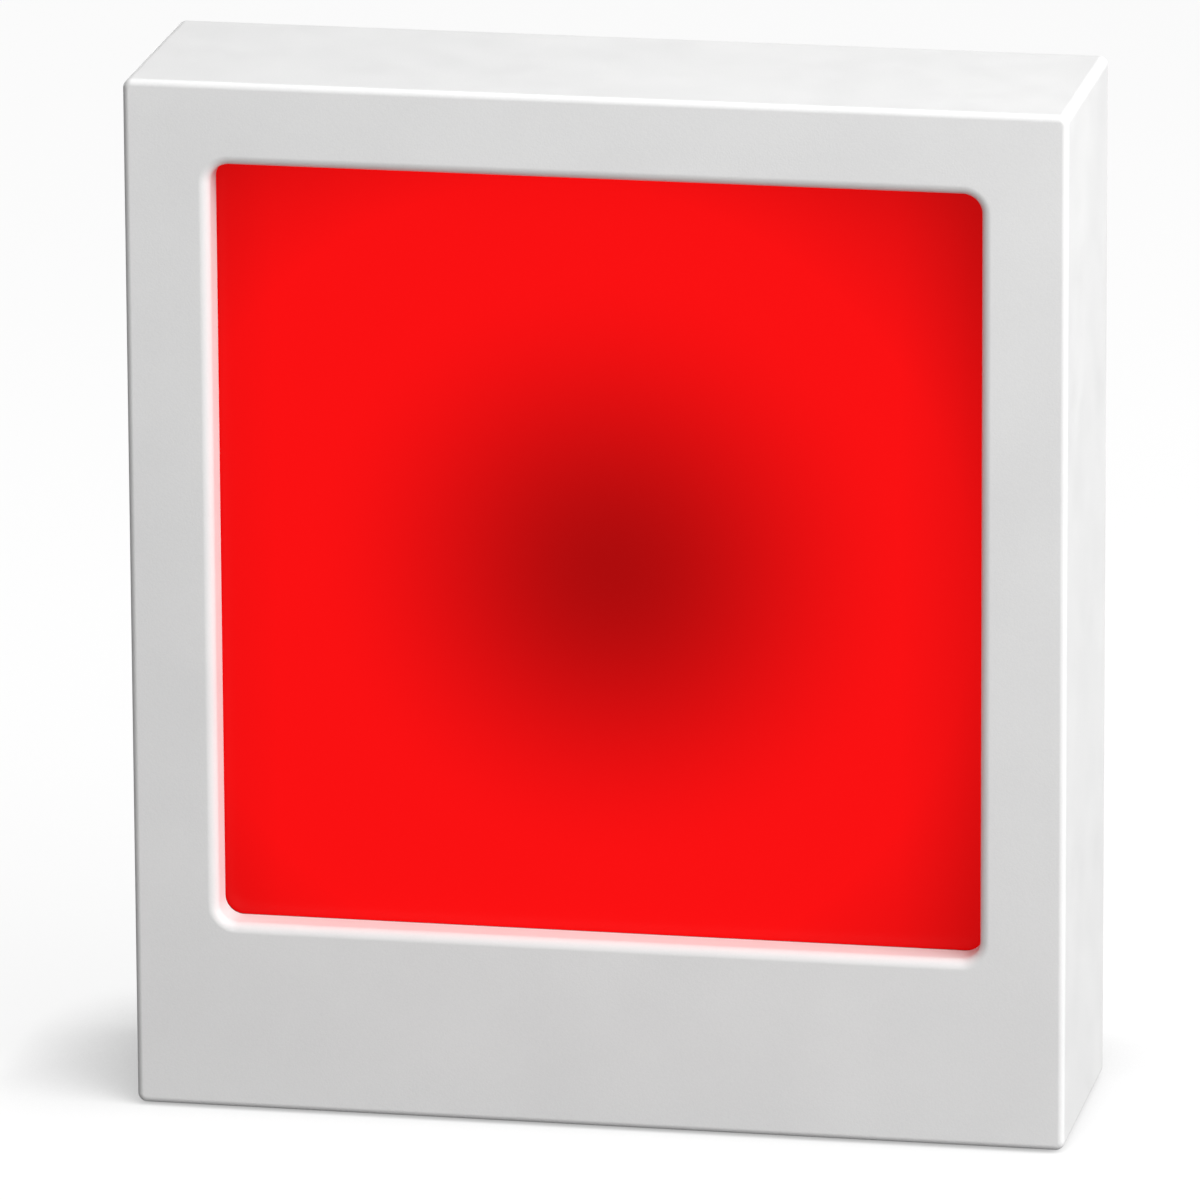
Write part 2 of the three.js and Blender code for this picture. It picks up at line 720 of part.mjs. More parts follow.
const paneEdge = grown(windowEdge, FILTER_OVERLAP, 3);
addPiece(optics, "red_filter", slab(paneEdge, FILTER_FRONT, FILTER_BACK), "red_acrylic");
addPiece(optics, "diffuser", slab(paneEdge, DIFFUSER_FRONT, DIFFUSER_BACK), "opal_acrylic");

// The four ears that share the screws of the retaining frame.
function ears(front, back) {
  return frameScrewPlaces.flatMap(([x, z]) => {
    const [left, right] = inOrder([x - 7 * Math.sign(x), x]);
    return [
      block([left, front, z - EAR_RADIUS], [right, back, z + EAR_RADIUS]),
      pegY(EAR_RADIUS, x, z, front, back),
    ];
  });
}

function earHoles(front, back) {
  return frameScrewPlaces.map(([x, z]) => pegY(1.6, x, z, front - 1, back + 1));
}

const frameRing = ringPlate(paneEdge, windowEdge, FRAME_FRONT, FRAME_BACK);
const earedFrame = join(frameRing, ...ears(FRAME_FRONT, FRAME_BACK));
const retainingFrame = cut(earedFrame, ...earHoles(FRAME_FRONT, FRAME_BACK));
addPiece(optics, "retaining_frame", retainingFrame, "black_plastic");

const TRAY_EAR_THICKNESS = 1.5;
frameScrewPlaces.forEach(([x, z], number) => {
  const screw = screwGeometry(1.2, 10, 2.6, 1.5);
  const place = [x, TRAY_FRONT + TRAY_EAR_THICKNESS + GAP, z];
  addPiece(optics, `frame_screw_${number + 1}`, screw, "steel", place);
});

// ---------------------------------------------------------------- reflector tray and LED ring

const BOARD_POST_RADIUS = 2.6;
const boardPostPlaces = [
  [-27, WINDOW_CENTRE_Z - 16],
  [27, WINDOW_CENTRE_Z + 16],
];
const DRIVER_BOARD_FRONT = 5;
const WIRE_SLOT_Z = WINDOW_CENTRE_Z + 38;

function reflectorTray() {
  const mouth = grown(windowEdge, FILTER_OVERLAP, 4);
  const floorEdge = grown(windowEdge, -7, 4);
  const outside = loft([
    { y: TRAY_FRONT, ...mouth },
    { y: TRAY_BACK, ...floorEdge },
  ]);
  const inside = loft([
    { y: TRAY_FRONT - PAST, ...grown(mouth, -1.6) },
    { y: TRAY_FRONT, ...grown(mouth, -1.6) },
    { y: TRAY_FLOOR, ...grown(floorEdge, -1.4) },
  ]);
  const posts = boardPostPlaces.map(([x, z]) =>
    pegY(BOARD_POST_RADIUS, x, z, TRAY_BACK - SINK, DRIVER_BOARD_FRONT - GAP),
  );
  const postHoles = boardPostPlaces.map(([x, z]) =>
    pegY(1.3, x, z, TRAY_FLOOR + 0.8, DRIVER_BOARD_FRONT + PAST),
  );
  const wireSlot = slab(centred(0, WIRE_SLOT_Z, 12, 8, 2), TRAY_FLOOR - PAST, TRAY_BACK + PAST);
  const earBack = TRAY_FRONT + TRAY_EAR_THICKNESS;
  const filled = join(outside, ...ears(TRAY_FRONT, earBack), ...posts);
  return cut(filled, inside, wireSlot, ...postHoles, ...earHoles(TRAY_FRONT, earBack));
}

addPiece(optics, "reflector_tray", reflectorTray(), "bright_white");

const BOARD_THICKNESS = 1.6;
const LED_BOARD_REACH = 8; // the ring's width either side of the circle that the LEDs stand on
const LED_BOARD_FRONT = TRAY_FLOOR - GAP - BOARD_THICKNESS;
const ledBoardShape = new THREE.Shape();
ledBoardShape.absarc(0, WINDOW_CENTRE_Z, LED_CIRCLE + LED_BOARD_REACH, 0, 2 * Math.PI);
const ledBoardHole = new THREE.Path();
ledBoardHole.absarc(0, WINDOW_CENTRE_Z, LED_CIRCLE - LED_BOARD_REACH, 0, 2 * Math.PI);
ledBoardShape.holes.push(ledBoardHole);
const ledBoard = plate(ledBoardShape, LED_BOARD_FRONT, LED_BOARD_FRONT + BOARD_THICKNESS, 18);
addPiece(optics, "led_board", ledBoard, "white_board");

const LED_SIDE = 5;
const LED_HEIGHT = 1.3;

function ledGeometry() {
  const half = LED_SIDE / 2;
  const body = block([-half, -LED_HEIGHT, -half], [half, 0, half]);
  const phosphorWell = pegY(half - 0.5, 0, 0, -LED_HEIGHT - PAST, -LED_HEIGHT + 0.3);
  return cut(body, phosphorWell);
}

for (let number = 1; number <= LED_COUNT; number += 1) {
  const angle = (number - 0.5) * ((2 * Math.PI) / LED_COUNT);
  const place = [
    LED_CIRCLE * Math.cos(angle),
    LED_BOARD_FRONT - GAP,
    WINDOW_CENTRE_Z + LED_CIRCLE * Math.sin(angle),
  ];
  addPiece(optics, `led_${number}`, ledGeometry(), "led_body", place, [0, -angle, 0]);
}

// ---------------------------------------------------------------- driver board

const driverEdge = centred(0, WINDOW_CENTRE_Z, 64, 42, 1);
const DRIVER_BOARD_BACK = DRIVER_BOARD_FRONT + BOARD_THICKNESS;
const boardHoles = boardPostPlaces.map(([x, z]) => pegY(1.5, x, z, 0, BACK));
const driverBoard = cut(slab(driverEdge, DRIVER_BOARD_FRONT, DRIVER_BOARD_BACK), ...boardHoles);
addPiece(driver, "driver_board", driverBoard, "circuit_board");

boardPostPlaces.forEach(([x, z], number) => {
  const screw = screwGeometry(1, 4.6, 2.2, 1.4);
  addPiece(driver, `board_screw_${number + 1}`, screw, "steel", [x, DRIVER_BOARD_BACK + 0.2, z]);
});

const onBoard = DRIVER_BOARD_BACK + GAP;
const inductor = turned([
  [0, 0],
  [6, 0],
  [6.4, 0.4],
  [6.4, 1.6],
  [5.2, 2],
  [5.2, 6],
  [6.4, 6.4],
  [6.4, 7.6],
  [6, 8],
  [0, 8],
]);
addPiece(driver, "driver_inductor", inductor, "copper", [-10, onBoard, WINDOW_CENTRE_Z + 8]);

const capacitor = turned([
  [0, 0],
  [3.7, 0],
  [4, 0.4],
  [4, 10.4],
  [3.7, 10.8],
  [3, 10.8],
  [2.8, 10.5],
  [0, 10.5],
]);
addPiece(driver, "driver_capacitor", capacitor, "capacitor_sleeve", [8, onBoard, WINDOW_CENTRE_Z + 9]);

function chipGeometry() {
  const body = block([-5, 0.2, -3], [5, 1.9, 3]);
  const legs = [];
  for (const side of [-1, 1]) {
    for (const step of [-1.5, -0.5, 0.5, 1.5]) {
      const x = step * 2.4;
      const [low, high] = inOrder([side * 2.8, side * 4.2]);
      legs.push(block([x - 0.4, 0, low], [x + 0.4, 0.5, high]));
    }
  }
  return join(body, ...legs);
}

addPiece(driver, "driver_chip", chipGeometry(), "black_plastic", [4, onBoard, WINDOW_CENTRE_Z - 7]);

// ---------------------------------------------------------------- rocker switch

const PIVOT_Y = 17.2;
const ROCKER_WIDTH = 9.8;
const SWITCH_FRONT = 5.5;

function switchBody() {
  const bezelEdge = centred(SWITCH_X, CONTROL_Z, 15, 21, 1);
  const bezel = slab(bezelEdge, WELL_FACE + 0.2, WELL_FACE + 1.7);
  const barrel = slab(grown(SWITCH_CUTOUT, -0.3, 0.5), SWITCH_FRONT, WELL_FACE + 0.2 + SINK);
  const terminals = [CONTROL_Z - 5, CONTROL_Z + 5].map((z) =>
    block([SWITCH_X - 2.4, 3.4, z - 0.4], [SWITCH_X + 2.4, SWITCH_FRONT + SINK, z + 0.4]),
  );
  const rockerWell = slab(centred(SWITCH_X, CONTROL_Z, 10.4, 17.4), PIVOT_Y - 4.4, BACK);
  const pivotPockets = pegX(1.5, PIVOT_Y, CONTROL_Z, SWITCH_X - 6, SWITCH_X + 6);
  return cut(join(bezel, barrel, ...terminals), rockerWell, pivotPockets);
}

addPiece(power, "switch_body", switchBody(), "black_plastic");

// The rocker, level, about its pivot at the origin: its pressed faces meet in a shallow valley.
function rockerGeometry() {
  const side = new THREE.Shape();
  side.moveTo(-1.4, -6.6);
  side.lineTo(4, -7.6);
  side.quadraticCurveTo(2.9, -3, 2.7, 0);
  side.quadraticCurveTo(2.9, 3, 4, 7.6);
  side.lineTo(-1.4, 6.6);
  side.quadraticCurveTo(-4.4, 0, -1.4, -6.6);
  const body = new THREE.ExtrudeGeometry(side, {
    depth: ROCKER_WIDTH,
    bevelEnabled: false,
    curveSegments: 5,
  });
  body.translate(0, 0, -ROCKER_WIDTH / 2);
  // The profile's own x runs towards +Y and its own y towards +Z.
  body.applyMatrix4(new THREE.Matrix4().makeBasis(
    new THREE.Vector3(0, 1, 0),
    new THREE.Vector3(0, 0, 1),
    new THREE.Vector3(1, 0, 0),
  ));
  return join(body, pegX(1.2, 0, 0, -5.7, 5.7));
}

const rockerPlace = [SWITCH_X, PIVOT_Y, CONTROL_Z];
const rockerTurn = [THREE.MathUtils.degToRad(ROCKER_TILT), 0, 0];
addPiece(power, "rocker", rockerGeometry(), "black_plastic", rockerPlace, rockerTurn);

// ---------------------------------------------------------------- power inlet

function inletGeometry() {
  const bodyBack = 4.6;
  const shoulder = WELL_FLOOR - 0.2;
  const mouth = WELL_FACE + 3.4;
  const boreEnd = 11;
  const barrel = turned(
    [
      [0, bodyBack],
      [5.2, bodyBack],
      [5.4, bodyBack + 0.2],
      [5.4, shoulder],
      [3.9, shoulder],
      [3.9, mouth - 0.4],
      [3.5, mouth],
      [2.9, mouth],
      [2.9, boreEnd],
      [1, boreEnd],
      [1, mouth - 1.5],
      [0.6, mouth - 1],
      [0, mouth - 1],
    ],
    20,
  );
  const terminals = [-3, 3].map((x) => block([x - 0.4, 3, -1.2], [x + 0.4, bodyBack + 0.4, 1.2]));
  return join(barrel, ...terminals);
}

addPiece(power, "power_inlet", inletGeometry(), "black_plastic", [INLET_X, 0, CONTROL_Z]);

const nutBlank = new THREE.CylinderGeometry(6.3, 6.3, 2, 6);
const inletNut = cut(nutBlank, pegY(INLET_HOLE_RADIUS, 0, 0, -2, 2, 20));
addPiece(power, "inlet_nut", inletNut, "steel", [INLET_X, WELL_FACE + 1.2, CONTROL_Z]);

// ---------------------------------------------------------------- wires

const WIRE_RADIUS = 0.7;
const WIRE_STEP = 4;
const boardLeft = driverEdge.left - 0.4;
const boardLow = driverEdge.low - 0.4;
const boardHigh = driverEdge.high + 0.4;
const padY = DRIVER_BOARD_BACK + 1.8;
const tabX = -HOLDER_REACH - 5.4;
const ledPadY = LED_BOARD_FRONT - 1.1;

// Each wire's route, as points from its first end to its last.
const wireRoutes = {
  battery_wire_red: [
    [tabX, CELL_Y, lowRow],
    [tabX - 3, CELL_Y - 2, lowRow + 5],
    [tabX - 6, 7, lowRow + 22],
    [tabX - 3, 7, 82],
    [-48, padY, 106],
    [boardLeft, padY, 110],
  ],
  battery_wire_black: [
    [tabX, CELL_Y, highRow],
    [tabX - 2, CELL_Y - 1, highRow + 5],
    [tabX - 1, padY, 60],
    [-54, padY, 84],
    [-44, padY, 100],
    [boardLeft, padY, 104],
  ],
  switch_wire_1: [
    [SWITCH_X - 3.8, 4.4, CONTROL_Z + 5],
    [SWITCH_X - 8, 4.6, CONTROL_Z + 9],
    [SWITCH_X - 7, 6.5, CONTROL_Z + 15],
    [SWITCH_X - 3, padY, boardLow - 2],
    [SWITCH_X - 3, padY, boardLow],
  ],
  switch_wire_2: [
    [SWITCH_X + 3.8, 4.4, CONTROL_Z - 5],
    [SWITCH_X + 8.2, 4.8, CONTROL_Z - 2],
    [SWITCH_X + 9, 5.6, CONTROL_Z + 10],
    [SWITCH_X + 4, padY, boardLow - 2.5],
    [SWITCH_X + 4, padY, boardLow],
  ],
  inlet_wire_red: [
    [INLET_X + 4.6, 3.5, CONTROL_Z],
    [INLET_X + 9, 3.8, CONTROL_Z + 5],
    [INLET_X + 6, 6.4, CONTROL_Z + 14],
    [INLET_X + 2, padY, boardLow - 2],
    [INLET_X + 2, padY, boardLow],
  ],
  inlet_wire_black: [
    [INLET_X - 4.6, 3.5, CONTROL_Z],
    [INLET_X - 8, 3.8, CONTROL_Z + 6],
    [INLET_X - 8, 6.6, CONTROL_Z + 14],
    [INLET_X - 6, padY, boardLow - 2],
    [INLET_X - 6, padY, boardLow],
  ],
  led_wire_red: [
    [3, padY, boardHigh],
    [3, padY - 0.6, boardHigh + 5],
    [3, 3.4, WIRE_SLOT_Z - 3],
    [3, -0.5, WIRE_SLOT_Z],
    [3, ledPadY - 0.4, WIRE_SLOT_Z + 5.5],
    [3, ledPadY, WIRE_SLOT_Z + 8.5],
  ],
  led_wire_black: [
    [-3, padY, boardHigh],
    [-3, padY - 0.6, boardHigh + 5],
    [-3, 3.4, WIRE_SLOT_Z - 3],
    [-3, -0.5, WIRE_SLOT_Z],
    [-3, ledPadY - 0.4, WIRE_SLOT_Z + 5.5],
    [-3, ledPadY, WIRE_SLOT_Z + 8.5],
  ],
};

for (const [name, points] of Object.entries(wireRoutes)) {
  const curve = new THREE.CatmullRomCurve3(points.map((point) => new THREE.Vector3(...point)));
  const steps = Math.round(curve.getLength() / WIRE_STEP);
  const insulation = /(black|2)$/.test(name) ? "black_insulation" : "red_insulation";
  addPiece(driver, name, rod(curve, WIRE_RADIUS, steps, 8), insulation);
}

export default lamp;
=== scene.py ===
"""The looks of the darkroom safelight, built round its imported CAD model.

Shapes are drawn in millimetres and become metres when a piece is made. +X is right seen from the
front, the front faces -Y and +Z is up.
"""
import json
import math
from collections import namedtuple
from itertools import product

import bmesh
import bpy
from mathutils import Matrix, Vector

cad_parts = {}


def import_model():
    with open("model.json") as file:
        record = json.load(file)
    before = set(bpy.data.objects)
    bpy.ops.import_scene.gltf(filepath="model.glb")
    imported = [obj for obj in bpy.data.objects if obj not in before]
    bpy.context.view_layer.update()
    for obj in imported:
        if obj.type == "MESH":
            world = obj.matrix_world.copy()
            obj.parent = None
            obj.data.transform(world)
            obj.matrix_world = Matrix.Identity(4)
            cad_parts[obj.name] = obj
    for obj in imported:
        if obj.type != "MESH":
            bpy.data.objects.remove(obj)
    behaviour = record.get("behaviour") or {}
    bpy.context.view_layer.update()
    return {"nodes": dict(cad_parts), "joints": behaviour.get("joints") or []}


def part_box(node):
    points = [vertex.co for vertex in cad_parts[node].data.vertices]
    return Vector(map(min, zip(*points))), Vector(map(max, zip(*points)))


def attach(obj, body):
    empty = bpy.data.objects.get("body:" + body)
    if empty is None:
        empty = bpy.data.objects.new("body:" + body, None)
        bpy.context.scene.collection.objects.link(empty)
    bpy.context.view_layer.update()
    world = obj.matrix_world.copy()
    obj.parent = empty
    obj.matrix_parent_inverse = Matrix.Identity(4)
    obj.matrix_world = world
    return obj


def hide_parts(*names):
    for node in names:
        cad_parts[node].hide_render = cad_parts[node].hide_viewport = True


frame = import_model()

# ---- sizes, in millimetres

MM = 0.001
WALL = 2.5
FRONT_EDGE_RADIUS = 1.3
REAR_EDGE_RADIUS = 1.2
CASE_CORNER = 1.8
WINDOW_CORNER = 3.7
LIP_RADIUS = 2.0
GASKET_OVERLAP = 2.3  # how far the gasket reaches out past the window's edge
CORNER_STEPS = 12
EDGE_STEPS = 6
SOFT_STEPS = 3  # along the small roundings
ROUND_STEPS = 64
BAR_STEPS = 32
FINE_STEPS = 48
LEAST_RADIUS = 0.15
MERGE_DISTANCE = 0.002
FLAT_DEGREES = 0.5  # faces that turn less than this are one face
CORNERS = range(1, 5)  # the numbers of the four rear screws, frame screws and feet


def box_mm(node):
    """The lowest and the highest corner of a CAD node, in millimetres."""
    low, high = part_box(node)
    return low / MM, high / MM


def centre_mm(node):
    """The middle of a CAD node's box, in millimetres."""
    low, high = box_mm(node)
    return (low + high) / 2


def joint_place(name):
    """Where a joint's axis passes, in millimetres."""
    joint = next(joint for joint in frame["joints"] if joint["name"] == name)
    return Vector(joint["pos_m"]) / MM


# ---- rounded rectangles

Rectangle = namedtuple("Rectangle", "left right low high radius")


def grown(edge, distance, radius=None):
    """A rectangle with every side moved out by a distance, or in by a negative one."""
    if radius is None:
        radius = edge.radius + distance
    return Rectangle(
        edge.left - distance,
        edge.right + distance,
        edge.low - distance,
        edge.high + distance,
        max(radius, LEAST_RADIUS),
    )


def centred(x, z, width, height, radius=0.5):
    """A rectangle of that size round a middle."""
    return Rectangle(x - width / 2, x + width / 2, z - height / 2, z + height / 2, radius)


def outline_of(node, radius):
    """A CAD node's box seen from the front, as a rectangle with that corner radius."""
    low, high = box_mm(node)
    return Rectangle(low.x, high.x, low.z, high.z, radius)


def ring_points(edge):
    """The outline of a rounded rectangle as (x, z) points."""
    left, right, low, high, radius = edge
    corners = [
        (right - radius, low + radius),
        (right - radius, high - radius),
        (left + radius, high - radius),
        (left + radius, low + radius),
    ]
    points = []
    for corner, (x, z) in enumerate(corners):
        for step in range(CORNER_STEPS + 1):
            angle = math.pi / 2 * (corner - 1 + step / CORNER_STEPS)
            points.append((x + radius * math.cos(angle), z + radius * math.sin(angle)))
    return points


def quarter_round(steps=EDGE_STEPS):
    """(sine, cosine) along a quarter round, from 0 to 90 degrees."""
    angles = [math.pi / 2 * step / steps for step in range(steps + 1)]
    return [(math.sin(angle), math.cos(angle)) for angle in angles]


# ---- solids, as objects in millimetres


def solid(shape):
    """A temporary object from a bmesh, its faces pointing out."""
    bmesh.ops.recalc_face_normals(shape, faces=shape.faces)
    mesh = bpy.data.meshes.new("solid")
    shape.to_mesh(mesh)
    shape.free()
    piece = bpy.data.objects.new("solid", mesh)
    bpy.context.scene.collection.objects.link(piece)
    return piece


def skin(rings, closed=False):
    """A solid round rings of as many points each, capped at both ends or closed on itself."""
    shape = bmesh.new()
    rings = [[shape.verts.new(point) for point in ring] for ring in rings]
    pairs = list(zip(rings, rings[1:]))
    if closed:
        pairs.append((rings[-1], rings[0]))
    for here, there in pairs:
        for step, corner in enumerate(here):
            following = (step + 1) % len(here)
            shape.faces.new((corner, here[following], there[following], there[step]))
    if not closed:
        shape.faces.new(rings[0])
        shape.faces.new(reversed(rings[-1]))
    return solid(shape)


def loft(sections, closed=False):
    """A solid through rounded rectangles at (y, rectangle), capped or closed on itself."""
    return skin([[(x, y, z) for x, z in ring_points(edge)] for y, edge in sections], closed)


def slab(edge, front, back, rounding=0.0):
    """A plate that stands in the X-Z plane, with its two outer edges rounded."""
    if rounding == 0.0:
        return loft([(front, edge), (back, edge)])
    sections = []
    for sine, cosine in quarter_round(SOFT_STEPS):
        sections.append((front + rounding * (1 - sine), grown(edge, -rounding * (1 - cosine))))
        sections.append((back - rounding * (1 - cosine), grown(edge, -rounding * (1 - sine))))
    return loft(sorted(sections, key=lambda section: section[0]))


def frame_ring(outer, inner, front, back):
    """A flat ring between two rounded rectangles."""
    return loft([(front, outer), (back, outer), (back, inner), (front, inner)], closed=True)


def block(low, high):
    """A box between two corners."""
    shape = bmesh.new()
    corners = [shape.verts.new(place) for place in product(*zip(low, high))]
    for face in ((0, 1, 3, 2), (4, 6, 7, 5), (0, 4, 5, 1), (2, 3, 7, 6), (0, 2, 6, 4), (1, 5, 7, 3)):
        shape.faces.new([corners[corner] for corner in face])
    return solid(shape)


def turned(profile, steps=ROUND_STEPS):
    """A lathe solid about local Z from (radius, height) points that start and end on the axis."""
    shape = bmesh.new()
    rings = []
    for radius, height in profile:
        if radius == 0:
            rings.append([shape.verts.new((0, 0, height))])
            continue
        ring = []
        for step in range(steps):
            angle = 2 * math.pi * step / steps
            ring.append(shape.verts.new((radius * math.cos(angle), radius * math.sin(angle), height)))
        rings.append(ring)
    for here, there in zip(rings, rings[1:]):
        for step in range(steps):
            following = (step + 1) % steps
            if len(here) == 1:
                shape.faces.new((here[0], there[step], there[following]))
            elif len(there) == 1:
                shape.faces.new((here[step], there[0], here[following]))
            else:
                shape.faces.new((here[step], here[following], there[following], there[step]))
    return solid(shape)


ALONG_Y = Matrix.Rotation(-math.pi / 2, 4, "X")  # turns local Z towards +Y
ALONG_X = Matrix.Rotation(math.pi / 2, 4, "Y")  # turns local Z towards +X


def moved(piece, place=(0, 0, 0), turn=None):
    """The same solid turned and then moved, in its mesh."""
    matrix = Matrix.Translation(place)
    if turn is not None:
        matrix = matrix @ turn
    piece.data.transform(matrix)
    return piece


def peg(radius, length, steps=ROUND_STEPS):
    """A round bar about local Z."""
    return turned([(0, 0), (radius, 0), (radius, length), (0, length)], steps)


def peg_y(radius, x, z, front, back):
    """A round bar along Y."""
    return moved(peg(radius, back - front), (x, front, z), ALONG_Y)


def peg_x(radius, y, z, left, right, steps=BAR_STEPS):
    """A round bar along X."""
    return moved(peg(radius, right - left, steps), (left, y, z), ALONG_X)


def applied(piece):
    """The piece with its modifiers applied to its mesh."""
    graph = bpy.context.evaluated_depsgraph_get()
    mesh = bpy.data.meshes.new_from_object(piece.evaluated_get(graph))
    old = piece.data
    piece.modifiers.clear()
    piece.data = mesh
    bpy.data.meshes.remove(old)
    return piece


def combined(piece, others, operation):
    """A boolean of one solid with each of the others, which are used up."""
    for other in others:
        modifier = piece.modifiers.new("combine", "BOOLEAN")
        modifier.operation = operation
        modifier.solver = "MANIFOLD"
        modifier.object = other
    applied(piece)
    for other in others:
        bpy.data.objects.remove(other)
    return piece


def joined(piece, *others):
    return combined(piece, others, "UNION")


def cut(piece, *others):
    return combined(piece, others, "DIFFERENCE")


def bevelled(piece, width, steps=2, least_degrees=40):
    """The piece with its sharp edges rounded."""
    shape = bmesh.new()
    shape.from_mesh(piece.data)
    bmesh.ops.remove_doubles(shape, verts=shape.verts, dist=MERGE_DISTANCE)
    flat = math.radians(FLAT_DEGREES)
    bmesh.ops.dissolve_limit(shape, angle_limit=flat, verts=shape.verts, edges=shape.edges)
    shape.to_mesh(piece.data)
    shape.free()
    modifier = piece.modifiers.new("edges", "BEVEL")
    modifier.width = width
    modifier.segments = steps
    modifier.limit_method = "ANGLE"
    modifier.angle_limit = math.radians(least_degrees)
    modifier.use_clamp_overlap = True
    modifier.miter_outer = "MITER_ARC"
    return applied(piece)


def painted(piece, choose):
    """Gives each face the material slot that choose(its centre) names."""
    for face in piece.data.polygons:
        face.material_index = choose(face.center)
    return piece


def finish_piece(name, piece, body, nodes, materials, smooth_degrees=35):
    """Names a solid, scales it to metres, shades it, hides the CAD nodes it replaces and hangs it from its
    body.
    """
    piece.name = name
    piece.data.name = name
    piece.data.transform(Matrix.Scale(MM, 4))
    slots = [face.material_index for face in piece.data.polygons]
    piece.data.materials.clear()
    for material in materials:
        piece.data.materials.append(material)
    piece.data.polygons.foreach_set("material_index", slots)
    piece.data.shade_smooth()
    piece.data.set_sharp_from_angle(angle=math.radians(smooth_degrees))
    modifier = piece.modifiers.new("normals", "WEIGHTED_NORMAL")
    modifier.mode = "FACE_AREA"
    modifier.keep_sharp = True
    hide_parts(*nodes)
    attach(piece, body)


def finish_node(node, piece, *materials, slot=None, body="case", smooth_degrees=35):
    """Finishes a piece that takes one CAD node's place. It works out a slot, its first material's name less
    the number that Blender adds where the CAD has a material of that name, but does not use it.
    """
    slot = slot or materials[0].name.partition(".")[0]
    finish_piece(f"{node}_fine", piece, body, [node], materials, smooth_degrees)


# ---- material nodes


class Finish:
    """A Principled material and short ways to add nodes to it."""

    def __init__(self, name, roughness=0.5, metallic=0.0):
        self.material = bpy.data.materials.new(name)
        self.material.use_nodes = True
        self.tree = self.material.node_tree
        self.shader = self.tree.nodes["Principled BSDF"]
        self.shader.inputs["Roughness"].default_value = roughness
        self.shader.inputs["Metallic"].default_value = metallic
        self.place = self.add("TexCoord").outputs["Object"]

    def add(self, kind, **settings):
        node = self.tree.nodes.new("ShaderNode" + kind)
        for key, value in settings.items():
            setattr(node, key, value)
        return node

    def link(self, output, target):
        self.tree.links.new(output, target)

    def noise(self, grain_mm, detail=3.0, seed=0.0):
        """A noise from 0 to 1 whose grains are about that big."""
        source = self.place
        if seed:
            mapping = self.add("Mapping")
            mapping.inputs["Location"].default_value = (seed, seed, seed)
            self.link(source, mapping.inputs["Vector"])
            source = mapping.outputs["Vector"]
        node = self.add("TexNoise")
        node.inputs["Scale"].default_value = 1 / (grain_mm * MM)
        node.inputs["Detail"].default_value = detail
        self.link(source, node.inputs["Vector"])
        return node.outputs["Fac"]

    def between(self, factor, low, high, least=0.0, most=1.0):
        """Numbers or colours mapped from a factor between two limits."""
        if isinstance(low, tuple):
            ramp = self.add("ValToRGB")
            ramp.color_ramp.elements[0].position = least
            ramp.color_ramp.elements[0].color = (*low, 1)
            ramp.color_ramp.elements[1].position = most
            ramp.color_ramp.elements[1].color = (*high, 1)
            self.link(factor, ramp.inputs["Fac"])
            return ramp.outputs["Color"]
        ranged = self.add("MapRange")
        for socket, value in (("From Min", least), ("From Max", most), ("To Min", low), ("To Max", high)):
            ranged.inputs[socket].default_value = value
        self.link(factor, ranged.inputs["Value"])
        return ranged.outputs["Result"]

    def maths(self, operation, first, second=0.0):
        node = self.add("Math", operation=operation)
        for socket, value in zip(node.inputs, (first, second)):
            if isinstance(value, (int, float)):
                socket.default_value = value
            else:
                self.link(value, socket)
        return node.outputs["Value"]

    def mixed(self, factor, first, second, blend="MIX"):
        node = self.add("Mix", data_type="RGBA", blend_type=blend)
        for socket, value in ((node.inputs[0], factor), (node.inputs[6], first), (node.inputs[7], second)):
            if isinstance(value, (int, float)):
                socket.default_value = value
            elif isinstance(value, tuple):
                socket.default_value = (*value, 1)
            else:
                self.link(value, socket)
        return node.outputs[2]

    def bump(self, height, depth_mm):
        node = self.add("Bump")
        node.inputs["Distance"].default_value = depth_mm * MM
        self.link(height, node.inputs["Height"])
        self.link(node.outputs["Normal"], self.shader.inputs["Normal"])

    def colour(self, output):
        self.link(output, self.shader.inputs["Base Color"])

    def rough(self, output):
        self.link(output, self.shader.inputs["Roughness"])


def grey(level):
    """A colour whose three channels are the same."""
    return (level, level, level)


FLOW_MM = 28  # the size of the mottling in moulded plastic
HANDLING_MM = 9  # the size of the duller and glossier patches
GRAIN_SHARE = 0.35
GLOSS_SPREAD = 0.06


def grained_plastic(name, dark, light, roughness, grain_mm=0.35, depth_mm=0.02, specular=0.5):
    """Moulded plastic: spark-eroded grain, faint flow mottling and handling marks in its gloss."""
    finish = Finish(name)
    finish.shader.inputs["Specular IOR Level"].default_value = specular
    grain = finish.noise(grain_mm, 2.0)
    flow = finish.noise(FLOW_MM, 3.0, seed=3.1)
    finish.colour(finish.between(finish.mixed(GRAIN_SHARE, flow, grain), dark, light, 0.35, 0.65))
    handled = finish.noise(HANDLING_MM, 4.0, seed=7.7)
    finish.rough(finish.between(handled, roughness - GLOSS_SPREAD, roughness + GLOSS_SPREAD, 0.3, 0.7))
    finish.bump(grain, depth_mm)
    return finish.material


WHITE = grained_plastic("white_plastic", grey(0.80), (0.84, 0.84, 0.838), 0.5)
BLACK = grained_plastic("black_plastic", (0.010, 0.010, 0.011), (0.020, 0.020, 0.021), 0.42, 0.3)
RUBBER = grained_plastic("rubber", grey(0.012), (0.024, 0.023, 0.022), 0.8, 0.5, 0.05, 0.3)
RED_ACRYLIC = grained_plastic("red_acrylic", (0.20, 0.002, 0.003), (0.26, 0.003, 0.004), 0.15, 1.5, 0.004)
FOAM = grained_plastic("black_foam", grey(0.006), grey(0.016), 0.95, 0.7, 0.25, 0.1)

# ---- the case's edges

